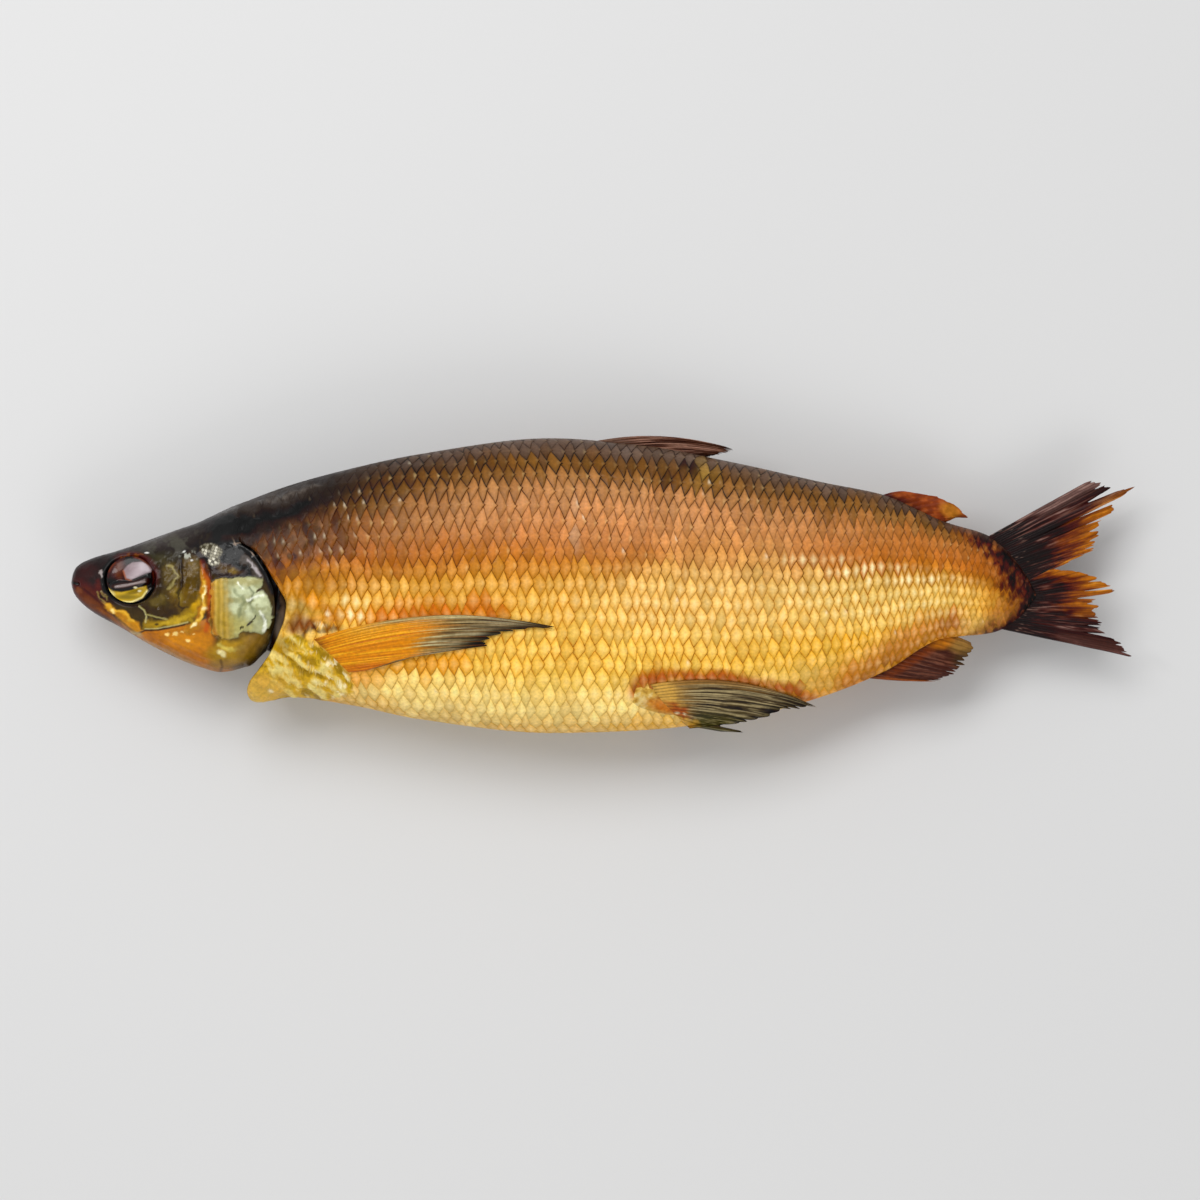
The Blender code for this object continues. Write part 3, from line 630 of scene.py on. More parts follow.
    # colours: each scale differs a little, darker towards its edges (partly pigment, partly painted shade of the
    # crevices), with a painted highlight paler towards its middle and lip
    f = fr.ravel()
    rep = lambda a: np.repeat(a, m)
    tone = 1 + (rep(r1) - 0.5) * (0.30 + 0.75 * broken) * (1 - 0.85 * nape) * (1 - 0.7 * breast)
    warm = (rep(r2) - 0.5) * 0.10
    col = col * (tone[:, None] * np.array([1, 1, 1])) * (1 + warm[:, None] * np.array([0.6, -0.2, -1.0]))
    rearness = s.ravel()
    gold = sstep((BACK(x) - p[:, 1]) / np.maximum(BACK(x) - BELLY(x), 1e-3), 0.36, 0.56) * (1 - breast)
    col = lay(col, line, (0.30 + 0.26 * gold) * f**2.0 * strength)
    col = lay(col, "#ffdf9e", 0.26 * gold * np.clip(1 - 1.2 * f, 0, 1) * (0.5 + rep(r1)) * (1 - sstep(px, 960, 990)))
    net = sstep(f, 0.86, 0.985) * strength * (0.40 + 1.25 * sstep(fbm(px / 5.5, py / 5.5, seed + 77, 2), 0.36, 0.66))
    col = lay(col, line, net)
    # painted light: each scale's upper half lighter and lower half darker as if lit from above, its middle a little
    # lighter and its front a little darker
    col = col * (1 + (0.12 * (1 - f**2) - 0.05 * (1 - rearness) + 0.16 * np.clip(w.ravel(), -0.8, 0.8)) * (1 - 0.8 * nape) * (1 - breast))[:, None]
    # painted glints (highlights) on the scales' middles, strongest in the row under the lateral line and at the belly
    # fin
    shine = 0.75 * ell(px, py, 872, 571, 92, 10, 8, 0.5) + 0.45 * ell(px, py, 880, 596, 80, 22, 5, 0.6) + 0.95 * ell(px, py, 356, 608, 16, 13, 20, 0.4)
    shine = shine + 0.40 * ell(px, py, 608, 700, 26, 22, 0, 0.6) + 0.28 * ell(px, py, 700, 600, 130, 34, 0, 0.6) + 0.25 * ell(px, py, 440, 700, 80, 18, 0, 0.6)
    col = lay(col, "#fff0b8", shine * np.clip(1.15 - 1.5 * f, 0, 1) ** 1.2 * (0.35 + rep(r2)) * relief)
    # painted glints on the scales' rear lips, in patches
    lip_glint = (1 - sstep(px, 975, 1000)) * np.exp(-((rearness - 0.80) / 0.13) ** 2) * np.exp(-(w.ravel() / 0.22) ** 2) * (1 - sstep(f, 0.84, 0.97))
    wet_glint_patches = sstep(fbm(px / 34, py / 22, seed + 72, 2), 0.50, 0.72)
    col = lay(col, "#ffdf9c", lip_glint * (0.08 + 0.22 * wet_glint_patches * (rep(r3) > 0.6)) * relief * (1 - nape))
    # pale spots on the scales: painted glints, in the listed places and on the shoulder's broken scales
    glint_areas = ell(px, py, 505, 473, 9, 6, -30, 0.5) + ell(px, py, 578, 522, 6, 26, 8, 0.5) + 0.7 * ell(px, py, 392, 500, 12, 9, 0, 0.5) + 0.8 * ell(px, py, 705, 480, 12, 14, 0, 0.5)
    glint_areas = glint_areas + 0.6 * ell(px, py, 352, 500, 16, 22, 20, 0.5) + 0.6 * broken
    spot = np.exp(-((rearness - 0.66) / 0.12) ** 2) * np.exp(-((w.ravel() - 0.22) / 0.15) ** 2)
    col = lay(col, "#fff0d0", ((rep(r3) > 0.55) * np.clip(glint_areas, 0, 1) + 0.7 * (rep(r3) > 0.985)) * spot * 0.8 * relief)

    # triangles
    tri = []
    base = np.arange(n) * m
    nr = len(rings)
    for q in range(nr - 1):
        for k in range(20):
            k2 = (k + 1) % 20
            a, bb, c, d = base + q * 20 + k, base + q * 20 + k2, base + (q + 1) * 20 + k2, base + (q + 1) * 20 + k
            tri += [np.stack([a, bb, c], 1), np.stack([a, c, d], 1)]
    for k in range(20):
        tri.append(np.stack([base + (nr - 1) * 20 + k, base + (nr - 1) * 20 + (k + 1) % 20, base + nr * 20], 1))
    row = [np.tile(j, 1)] * len(tri)

    def walls(mine, ni_, nj_, theirs):
        other = number[ni_, nj_]
        ok = other >= 0
        for k in range(len(mine) - 1):
            a, c = base[ok] + mine[k], base[ok] + mine[k + 1]
            bb, d = other[ok] * m + theirs[k], other[ok] * m + theirs[k + 1]
            tri.append(np.stack([a, bb, d], 1)), row.append(j[ok])
            tri.append(np.stack([a, d, c], 1)), row.append(j[ok])

    walls([0, 1, 2, 3], up, j - 1, [13, 12, 11, 10])
    walls([3, 4, 5, 6, 7], i + 1, j, [17, 16, 15, 14, 13])
    walls([7, 8, 9, 10], up, j + 1, [0, 19, 18, 17])
    for mine, first, second in ((3, (up, j - 1, 10), (i + 1, j, 17)), (7, (i + 1, j, 13), (up, j + 1, 0))):
        o1, o2 = number[first[0], first[1]], number[second[0], second[1]]
        ok = (o1 >= 0) & (o2 >= 0)
        tri.append(np.stack([base[ok] + mine, o1[ok] * m + first[2], o2[ok] * m + second[2]], 1))
        row.append(j[ok])
    tri, row = np.concatenate(tri), np.concatenate(row)
    if side < 0:
        tri = tri[:, ::-1]
    uvs = np.stack([(x - 58) / 290.0, t], 1)
    # walls get a little width on the skin and on the map from each scale's own rear edge, drawn in by 3% above
    return p, tri, row + j0, col, uvs, np.stack([u, uv[..., 1].ravel()], 1), f


def rim_strip(side, surface, edge, depths, shifts, n, t_from, t_to, to_mid, seed, head):
    """The skin turning in at the gill opening, from its edge down to the fish's mid-plane."""
    t = np.linspace(t_from, t_to, n)
    x = np.full(n, 66.0)
    for _ in range(25):
        y = surface.at(x, t)[0][:, 1]
        x = 0.5 * x + 0.5 * np.clip(edge(y), 0, 77.9 if head else 346)
    p0, nor = surface.at(x, t)
    rows = []
    for d, sft in zip(depths, shifts):
        q = p0 - nor * d
        q[:, 0] += sft
        rows.append(q)
    last = rows[-1].copy()
    if to_mid:
        last = last.copy()
        last[:, 2] = mid(last[:, 0])
        last[:, 1] = last[:, 1] * 0.9 + 0.1 * AX(last[:, 0])
        rows.append(last)
    return p0, nor, np.stack(rows), t, x


# ------------------------------------------------------------------ head
OPERCLE = [(213, 583), (225, 579), (238, 577.5), (252, 578), (264, 577.5), (264.5, 585), (257, 594), (267.5, 591.5), (274, 603),
           (273.5, 622), (266, 635), (249, 630), (240, 636), (232, 639), (222, 639.5), (215, 633), (212.5, 620), (213.5, 602)]
RIDGE = [(191, 628), (199, 623), (205, 614), (207.5, 604), (206.5, 592), (208, 580), (206, 566)]
SUTURE = [(136, 634), (146, 631), (159, 630.5), (179, 626.5), (191, 623.5)]


def head_relief(px, py, seed):
    """How far the head's surface stands out of the smooth form, in mm."""
    orbit = ell(px, py, 131.5, 580.5, 25.0, 24.5, 0, 0.12)
    r = 0.45 * ell(px, py, 132, 579, 30, 28, 0, 0.25) - (2.9 + 1.3 * sstep(px, 128, 152)) * orbit
    r += 1.0 * stroke(px, py, RIDGE, 4.6, 0.95) - 0.35 * stroke(px, py, SUTURE, 1.3, 0.9)
    r -= 0.7 * stroke(px, py, [(211, 572), (211.5, 590), (211, 612), (214, 630), (224, 641)], 2.0, 0.9)
    n2 = fbm(px / 9, py / 8, seed + 64) - 0.5
    n3 = fbm(px / 4, py / 4, seed + 68) - 0.5
    plate = area(px + 5 * n3 + 4 * n2, py + 5 * n2, OPERCLE, 1.2)
    r += 0.55 * plate + 0.10 * plate * np.sin(px * 1.15 + 3 * fbm(px / 20, py / 30, seed + 3)) * (1 - sstep(px, 225, 238))
    fold = 1 - 2 * np.abs(fbm(px / 10, py / 12, seed + 6, 3) - 0.5) * 2
    r += 0.45 * plate * (fold - 0.6) * sstep(px, 222, 240)
    cheek = ell(px, py, 176, 590, 40, 38, 0, 0.3) * (1 - orbit)
    r += 0.55 * ell(px, py, 193, 572, 13, 17, 10, 0.6) + 0.5 * ell(px, py, 186, 599, 14, 14, -15, 0.6) + 0.4 * ell(px, py, 170, 573, 9, 12, 0, 0.7)
    r += 0.40 * cheek * ((1 - 2 * np.abs(fbm(px / 9, py / 11, seed + 7, 3) - 0.5) * 2) - 0.6)
    r -= 0.5 * stroke(px, py, [(183, 556), (183, 572), (184, 590), (178, 603)], 1.6, 0.9) + 0.4 * stroke(px, py, [(160, 565), (164, 585), (160, 606)], 2.2, 0.9)
    r += 0.35 * stroke(px, py, [(141, 606), (146, 610), (148, 616), (147, 622)], 1.3, 0.8) + 0.3 * stroke(px, py, [(149, 614.5), (158, 617), (169, 619)], 1.2, 0.8)
    r -= 1.0 * stroke(px, py, [(66, 580), (77, 584)], 2.2, 0.9) + 0.2 * stroke(px, py, [(76, 584), (88, 592), (104, 605)], 1.6, 0.9)
    r += 0.25 * area(px, py, [(103, 602), (112, 604), (126, 612), (140, 624), (146, 632), (136, 634), (122, 624), (110, 612)], 2.0)
    r += 0.3 * ell(px, py, 137, 633, 6, 2.6, 20, 0.5)
    r += 0.25 * (stroke(px, py, [(98, 592), (101, 598), (106, 603)], 1.3, 0.8) + stroke(px, py, [(102, 592), (107, 596), (109, 601)], 1.2, 0.8))
    # throat membranes with their fine bones
    low = sstep(py, 634, 644) * (1 - sstep(px, 200, 222))
    d, _ = along(px, py, [(118, 612), (145, 634), (182, 656), (222, 673), (245, 667)])
    r += 0.10 * low * np.sin(d * 0.8 + 2 * n2)
    # skull plates and pits on top
    r += 0.55 * (fbm(px / 22, py / 12, seed + 8) - 0.5) * (1 - sstep(py, 545, 580))
    r += 0.30 * (fbm(px / 7, py / 6, seed + 9) - 0.5)
    r += 0.15 * (np.abs(fbm(px / 11, py / 9, seed + 12) - 0.5) * 2) * ell(px, py, 228, 557, 42, 22, 0, 0.5)
    r += 0.6 * stroke(px, py, [(232, 541), (247, 546), (259, 557), (268, 572), (275, 590), (274, 612), (268, 640), (250, 664)], 3.2, 0.9)
    return r


def head_paint(px, py, seed):
    n1 = fbm(px / 34, py / 22, seed + 60) - 0.5
    n2 = fbm(px / 9, py / 8, seed + 64) - 0.5
    n3 = fbm(px / 4, py / 4, seed + 68) - 0.5
    wx, wy = px + 10 * n2, py + 10 * (fbm(px / 9 + 40, py / 8, seed + 65) - 0.5)
    vx, vy = px + 5 * n3, py + 5 * (fbm(px / 4 + 40, py / 4, seed + 69) - 0.5)
    x = (px - 71) * K
    t = (BACK(x) - (590 - py) * K) / np.maximum(BACK(x) - HBELLY(x), 1e-3)
    col = np.tile(rgb("#403520"), (len(px), 1))

    def put(colour, mask, share=1.0):
        nonlocal col
        col = lay(col, colour, mask * share)

    # top of the head and the snout
    put("#292423", 1 - sstep(t + 0.14 * n1, 0.27, 0.40))
    # lighter grey band along the top of the head: painted sheen
    put("#48423f", (1 - sstep(t + 0.1 * n2, 0.03, 0.17)) * sstep(px, 120, 160) * (1 - sstep(px, 170, 215)), 0.6)
    put("#4d4b42", ell(wx, wy, 176, 545, 32, 9, -12, 0.6) * sstep(n2, -0.06, 0.10), 0.7)
    put("#3a3722", ell(wx, wy, 160, 562, 20, 8, -10, 0.6), 0.7)
    put("#2c1a12", 1 - sstep(px + 12 * n1, 98, 120), 0.95)
    put("#55290f", ell(wx, wy, 101, 588, 6, 8, 20, 0.5), 0.75)
    put("#3c2520", ell(px, py, 86, 574, 12, 8, -30, 0.6), 0.6)
    put("#5a2e21", ell(px, py, 88, 596, 20, 10, 34, 0.6), 0.9)
    put("#74432b", ell(px, py, 96, 606, 15, 4.5, 38, 0.6), 0.7)
    put("#7d4a34", ell(vx, vy, 79, 590, 4, 3, 0, 0.5), 0.6)
    # gold at the corner of the jaw
    put("#c58520", area(wx, wy, [(103, 602), (112, 604), (126, 612), (140, 624), (146, 632), (136, 634), (122, 624), (110, 612)], 2.5), 0.95)
    put("#94561d", area(px, py, [(98, 608), (112, 614), (128, 628), (136, 635), (120, 628)], 2.5), 0.75)
    put("#e6b23c", stroke(wx, wy, [(110, 606), (122, 612), (134, 621)], 2.2, 0.8), 0.75)
    # small pale spot: painted highlight
    put("#f6dc88", ell(vx, vy, 114, 611, 3.2, 2.2, 35, 0.5), 0.85)
    put("#5a431a", stroke(px, py, [(120, 619), (129, 627), (137, 632)], 1.1, 0.8), 0.65)
    # cheek: olive, translucent, with glossy folds
    put("#43371b", ell(wx, wy, 170, 595, 36, 32, 0, 0.35), 0.9)
    # dark line down the cheek's groove: painted shade
    put("#2b2410", stroke(wx, wy, [(160, 568), (163, 588), (159, 604)], 3.5, 0.8), 0.5)
    put("#5c4c27", ell(wx, wy, 171, 573, 8, 10, 0, 0.5), 0.8)
    put("#9a8d5a", stroke(wx, wy, [(169, 566), (176, 568), (179, 576), (173, 589)], 1.5, 0.8), 0.75)
    put("#574527", ell(wx, wy, 193, 572, 12, 16, 10, 0.35), 0.9)
    put("#79653e", ell(wx, wy, 196, 566, 5, 8, 10, 0.5), 0.6)
    put("#6a5222", ell(wx, wy, 186, 599, 13, 14, -15, 0.4), 0.85)
    put("#877236", ell(wx, wy, 181, 596, 4, 8, -15, 0.6), 0.6)
    put("#705f36", ell(wx, wy, 160, 602, 9, 4.5, -30, 0.5), 0.65)
    # dark line along the cheek's other groove: painted shade
    put("#1f1d0e", stroke(wx, wy, [(184, 560), (184, 586), (179, 600), (184, 610), (196, 608)], 1.2, 0.9), 0.75)
    put("#3a2d12", stroke(wx, wy, [(138, 608), (150, 612), (166, 614), (176, 608)], 4.5, 0.8), 0.7)
    put("#9a7a1e", area(wx, wy, [(146, 622), (170, 619), (190, 611), (199, 598), (203, 612), (192, 621), (176, 626), (158, 629.5), (146, 629)], 2.5), 0.95)
    put("#caa838", ell(wx, wy, 178, 621, 17, 2.8, -14, 0.6), 0.65)
    put("#c99a24", ell(wx, wy, 199, 604, 3.5, 9, 10, 0.6), 0.8)
    put("#2a2410", ell(px, py, 158, 624.5, 2.0, 1.1, 0, 0.5), 0.8)
    put("#c9c084", stroke(px, py, [(141, 606), (146, 610), (148, 616), (147, 622)], 0.8, 0.7), 0.65)
    put("#b3a868", stroke(px, py, [(149, 614.5), (158, 617), (169, 619)], 0.75, 0.7), 0.6)
    # underside, orange, dusky towards its edge
    under = sstep(py - np.interp(px, [130, 146, 159, 179, 191, 212], [634, 631, 630.5, 626.5, 623.5, 617]), -1.0, 1.5) * sstep(px, 126, 138)
    under = under * (1 - sstep(px, 213, 221) * (1 - sstep(py, 652, 664)))
    put("#b26c1c", under, 0.96)
    put("#cf861e", under * ell(wx, wy, 192, 640, 24, 10, 10, 0.6), 0.85)
    put("#a07a4a", under * sstep(py - (616 + 0.46 * (px - 100)) + 6 * n2, -2, 7), 0.85)
    put("#857560", under * sstep(py - (622 + 0.46 * (px - 100)) + 6 * n2, -2, 7), 0.75)
    for sx, sy, sr in ((168.5, 634, 2.2), (177, 634, 2.6), (189, 630, 2.4), (190, 640, 2.0), (183, 631.5, 1.6), (196, 634, 1.3)):
        put("#f5d684", ell(vx, vy, sx, sy, sr, sr * 0.7, 0, 0.5), 0.9)
    put("#332410", stroke(px, py, SUTURE, 0.8, 0.7), 0.85)
    put("#ded592", stroke(px, py, [(146, 629.2), (159, 628.8), (179, 624.8), (190, 621.8)], 0.7, 0.8), 0.55)
    put("#b39a6c", ell(px, py, 137, 633, 6, 2.2, 20, 0.5), 0.85)
    # raised bone behind the cheek
    put("#ad741a", stroke(wx, wy, RIDGE, 4.0, 0.5), 0.95)
    # lighter line along the ridge's crest and the near-white marks on it: painted highlights
    put("#e2b84c", stroke(vx, vy, [(208, 582), (206, 596), (207.5, 606), (203, 618), (195, 625)], 1.5, 0.8), 0.85)
    put("#fff0b4", stroke(vx, vy, [(207.5, 586), (206.3, 598)], 0.9, 0.8), 0.8)
    put("#fff0b4", ell(vx, vy, 207.5, 609, 2.4, 1.6, 0, 0.5) + ell(vx, vy, 197.5, 624, 3.2, 1.3, -30, 0.5), 0.8)
    put("#b3551a", stroke(px, py, [(205, 562), (210, 580), (212, 598), (211.5, 618), (208, 630)], 2.2, 0.8), 0.85)
    put("#46210f", stroke(px, py, [(203, 552), (207, 566), (213, 578)], 1.8, 0.8), 0.7)
    # gill cover
    put("#1f1811", ell(px, py, 236, 560, 36, 21, 18, 0.35), 0.95)
    put("#574320", ell(wx, wy, 233, 568, 14, 7, 10, 0.5), 0.75)
    put("#8a7038", ell(vx, vy, 236, 571, 5, 2.4, 0, 0.5), 0.6)
    plate = area(px + 5 * n3 + 4 * n2, py + 5 * n2, OPERCLE, 0.9)
    put("#a3a57a", plate)
    put("#c6cca6", plate * ell(px, py, 251, 601, 20, 19, 0, 0.5) * sstep(n2, -0.12, 0.04), 0.85)
    put("#b3a95f", plate * ell(wx, wy, 232, 626, 20, 12, 0, 0.5), 0.8)
    put("#9c935c", plate * ell(wx, wy, 246, 581, 18, 4, 0, 0.5), 0.7)
    # darker strokes along the plate's wrinkles and round its notch are painted shade; the near-white strokes are
    # painted highlights
    put("#7d8460", plate * (stroke(wx, wy, [(238, 588), (246, 600), (240, 614)], 1.6, 0.9) + stroke(wx, wy, [(252, 604), (259, 616), (269, 620)], 1.5, 0.9)), 0.65)
    put("#5b6349", plate * stroke(wx, wy, [(252, 586), (257, 594), (250, 602)], 1.2, 0.9), 0.7)
    put("#f4f7e6", plate * (stroke(vx, vy, [(250, 600), (259, 596), (267, 595)], 1.0, 0.8) + stroke(vx, vy, [(262, 611), (268, 620), (266, 630)], 1.2, 0.8) + stroke(vx, vy, [(241, 583), (247, 590)], 0.8, 0.8)), 0.75)
    put("#191109", stroke(vx, vy, [(242, 628.5), (247, 625.5), (254, 620.5), (258, 615)], 0.9, 0.7) * sstep(n3, -0.12, 0.02), 0.95)
    put("#30271a", ell(px, py, 252.5, 622, 3.6, 1.1, -32, 0.4), 0.9)
    streak = 0.5 + 0.5 * np.sin(px * 1.15 + 3 * fbm(px / 20, py / 30, seed + 3))
    front = plate * (1 - sstep(px + 9 * n2 - 0.08 * (py - 600), 224, 237))
    put("#a0812a", front, 0.92)
    put("#c8a552", front * streak, 0.6)
    put("#b06c24", front * stroke(px, py, [(213, 582), (214, 604), (213.5, 622), (218, 637)], 3.0, 0.8), 0.7)
    put("#3c2c16", stroke(wx, wy, [(213, 600), (211.8, 618), (215.5, 634), (224, 641), (236, 640)], 0.9, 0.8), 0.6)
    put("#6a532a", ell(wx, wy, 246, 650, 34, 20, -8, 0.4) * (1 - plate), 0.9)
    put("#b08828", ell(wx, wy, 238, 650, 27, 12, -8, 0.4) * (1 - plate), 0.95)
    put("#d8c35e", stroke(vx, vy, [(221, 644), (230, 650), (246, 647)], 2.0, 0.8) * (1 - plate), 0.75)
    # pale spot: painted highlight
    put("#f0e4a6", ell(vx, vy, 223, 653, 4, 2.6, 30, 0.5), 0.8)
    put("#6d5c40", ell(wx, wy, 266, 648, 8, 15, 25, 0.5) * (1 - plate), 0.85)
    put("#96743a", ell(px, py, 224, 664, 15, 5, -6, 0.5), 0.7)
    put("#5a4022", stroke(px, py, [(222, 660), (223, 667), (220, 673)], 1.4, 0.8), 0.75)
    put("#5b4a34", stroke(px, py, [(272, 642), (262, 658), (236, 668)], 3.0, 0.9), 0.7)
    put("#8e6c30", ell(wx, wy, 253, 646, 19, 9, -38, 0.5) * (1 - plate), 0.85)
    put("#a89866", stroke(vx, vy, [(270, 634), (266, 645), (258, 655)], 1.0, 0.8) * (1 - plate), 0.5)
    # silver flakes on the dark upper cover, with a painted grey sheen and painted highlights on it
    cu, cv = (px - 213) * 0.966 + (py - 551) * 0.26, -(px - 213) * 0.26 + (py - 551) * 0.966
    fu, fv = cu / 3.1 + 0.15 * n3, cv / 2.9 + 0.15 * n2
    cell = hash01(np.floor(fu).astype(int), np.floor(fv).astype(int), 17)
    gap = np.minimum(np.minimum(fu % 1, 1 - fu % 1), np.minimum(fv % 1, 1 - fv % 1))
    flake = sstep(gap, 0.03, 0.16) * (cell > 0.18)
    put("#150d06", ell(wx, wy, 238, 560, 15, 9, 20, 0.4), 0.9)
    patch = np.clip(ell(px, py, 213, 551, 11, 6.5, 12, 0.2) + ell(px, py, 216, 561, 5.5, 4.5, 0, 0.3), 0, 1)
    put("#46402f", patch, 0.8)
    put("#a9a48e", patch * flake * (0.45 + 0.55 * cell), 0.95)
    put("#dedac6", patch * flake * (cell > 0.72), 0.7)
    put("#4d4540", stroke(wx, wy, [(246, 559), (253, 563), (259, 570), (263, 577)], 3.2, 0.6), 0.9)
    put("#b0a7a8", stroke(vx, vy, [(250, 561), (257, 567), (262, 575)], 1.3, 0.8), 0.8)
    put("#ffffff", ell(vx, vy, 255, 556, 1.8, 1.3, 0, 0.5), 0.9)
    # pale glints and small near-white spots on top of the head: painted highlights
    put("#a5a698", ell(vx, vy, 190, 556, 9, 4.5, 10, 0.5) * sstep(n3, 0.0, 0.1), 0.8)
    put("#e6e6e0", ell(px, py, 148, 553, 2.2, 0.9, 0, 0.5) + ell(px, py, 186, 552, 1.6, 0.9, -20, 0.5) + ell(px, py, 194, 561, 1.4, 1.0, 0, 0.5), 0.85)
    put("#17110e", stroke(px, py, [(226, 536), (244, 545), (258, 558), (268, 574), (276, 592)], 2.6, 0.8), 0.9)
    for line in ([(228, 528), (236, 541), (238, 546)], [(236, 545), (248, 542), (258, 546)], [(241, 538), (246, 535), (251, 541)], [(246, 544), (252, 549), (256, 556)]):
        put("#a08c7c", stroke(px, py, line, 0.6, 0.7), 0.7)
    # round the orbit
    put("#160d0a", ell(px, py, 131, 580.0, 27.8, 26.2, 0, 0.10), 0.9)
    put("#4a2413", (ell(px, py, 132, 578, 29.0, 26.5, 0, 0.10) - ell(px, py, 131, 579.5, 24, 23.5, 0, 0.10)) * (1 - sstep(py, 575, 596)) * sstep(px, 108, 122), 0.85)
    # thin orange arc on the rim's top: painted highlight
    put("#8f5426", stroke(vx, vy, [(118, 560), (125, 556), (134, 554), (146, 555.5)], 0.7, 0.7) * sstep(n2, -0.02, 0.10), 0.55)
    # black gap between snout and eye: painted shade; the pale streak beside it: painted highlight
    put("#0f0907", stroke(px, py, [(106, 590), (104, 580), (107, 570), (113, 562)], 2.6, 0.8), 0.8)
    put("#b7adaa", stroke(vx, vy, [(101, 571), (103, 577)], 0.9, 0.7), 0.7)
    # dark mouth slit and jaw line, laid in their grooves: painted shade
    put("#1a100c", stroke(px, py, [(69, 581), (76, 584)], 1.4, 0.8), 0.85)
    put("#2b1712", stroke(px, py, [(76, 584), (88, 592), (104, 605)], 1.2, 0.9), 0.45)
    put("#978450", stroke(vx, vy, [(98, 592), (101, 598), (106, 603)], 0.9, 0.8) + stroke(vx, vy, [(102, 592), (107, 596), (109, 601)], 0.8, 0.8), 0.6)
    # dark nostril pit: painted shade
    put("#140c08", ell(px, py, 102.5, 596.5, 2.4, 1.3, 50, 0.5), 0.7)
    return col * (1.03 + 0.22 * n1 + 0.34 * n2 + 0.22 * n3)[:, None]


def nape_relief(px, py, seed):
    wx, wy = px + 14 * (fbm(px / 18, py / 12, 6) - 0.5), py + 14 * (fbm(px / 12 + 30, py / 10, 26) - 0.5)
    folds = 0.5 * stroke(wx, wy, [(262, 503), (275, 499), (286, 494)], 3.0, 0.9) + 0.45 * stroke(wx, wy, [(286, 496), (300, 490), (318, 486)], 3.0, 0.9)
    folds = folds - 0.5 * stroke(wx, wy, [(246, 528), (262, 520), (286, 514), (310, 500)], 4.0, 0.9)
    return folds + (fbm(px / 14, py / 9, seed + 44, 3) - 0.5) * 0.7 + (fbm(px / 5, py / 5, seed + 40, 3) - 0.5) * 0.25


def head_piece(side, ns, nt, seed):
    surface = HEAD[side]
    t = np.linspace(0, 1, nt)
    t = t - 0.02 * np.sin(2 * np.pi * t)
    end = np.full(nt, 66.0)
    for _ in range(40):
        y = surface.at(end, t)[0][:, 1]
        end = 0.5 * end + 0.5 * np.clip(COVER_EDGE(y), 0, 77.9)
    s = np.linspace(0, 1, ns)
    s = s**1.15
    X = (s[:, None] * end[None, :]).ravel()
    T = np.tile(t, ns)
    p, nor = surface.at(X, T)
    px, py = layout(p)
    rel = head_relief(px, py, seed)
    edge = sstep(np.minimum(T, 1 - T) * surface.arc(X)[0], 0.0, 2.0)
    blend = sstep(X, 44.0, 60.0) * sstep(p[:, 1], 14.0, 20.0)
    rel = rel * (1 - blend) + nape_relief(px, py, seed) * blend
    dents = (fbm(px / 75, py / 45, seed + 50, 2) - 0.5) * 1.1
    rel = (rel + dents * sstep(X, 8, 30)) * edge * sstep(X, 0.2, 3.0)
    col = head_paint(px, py, seed)
    bodyc = body_paint(px, py, seed)[0]
    mixed = sstep(px + 10 * (fbm(px / 12, py / 10, 5) - 0.5), 200, 228) * (1 - sstep(py, 536, 547))
    col = lay(col, bodyc, mixed)
    p = p + nor * rel[:, None]
    tip = np.array([0.0, 2.6, float(mid(0.0))])
    k0 = sstep(np.repeat(s, nt), 0.0, 0.012)[:, None]
    p = tip * (1 - k0) + p * k0
    # the cover's edge turns in
    base = p.reshape(ns, nt, 3)
    nr = nor.reshape(ns, nt, 3)[-1]
    rows, cols = [base], [col.reshape(ns, nt, 3)]
    lastcol = cols[0][-1]
    # third number: where the edge is free, each row inward is painted darker, down to the closing row: painted shade
    # inside the gill opening
    for depth, shift, dark in ((0.15, 0.25, 0.9), (0.5, 0.35, 0.75), (1.0, 0.1, 0.5), (2.0, -1.0, 0.3), (4.0, -3.0, 0.2), (7.0, -6.0, 0.15)):
        free = 1 - sstep(base[-1][:, 1], 15.5, 17.6)[:, None]
        q = base[-1] - nr * depth
        q[:, 0] += shift
        # over the nape the skin simply runs on, under the body's
        on, on_nor = surface.at(end + 0.5 + depth * 0.8, t)
        ox, oy = layout(on)
        keep = nape_relief(ox, oy, seed) + (fbm(ox / 75, oy / 45, seed + 50, 2) - 0.5) * 1.1
        on = on + on_nor * (keep * sstep(np.minimum(t, 1 - t) * surface.arc(end)[0], 0.0, 2.0) - 0.03 - 0.06 * depth)[:, None]
        q = q * free + on * (1 - free)
        rows.append(q[None])
        cols.append((lastcol * (dark * free + 1 - free))[None])
    q = rows[-1][0].copy()
    q[:, 2] = mid(q[:, 0])
    q[:, 1] = q[:, 1] * 0.85 + 0.15 * AX(q[:, 0])
    rows.append(q[None])
    cols.append((lastcol * 0.1)[None])
    P, C_ = np.concatenate(rows), np.concatenate(cols)
    n_ = P.shape[0]
    quads = grid_quads(n_, nt, flip=side < 0)
    uu = np.repeat(np.linspace(0, 1, n_), nt)
    uvs = np.stack([uu * 0.98 + 0.01, np.tile(t, n_) * 0.9 + 0.05], 1)
    return P.reshape(-1, 3), quads, C_.reshape(-1, 3), uvs


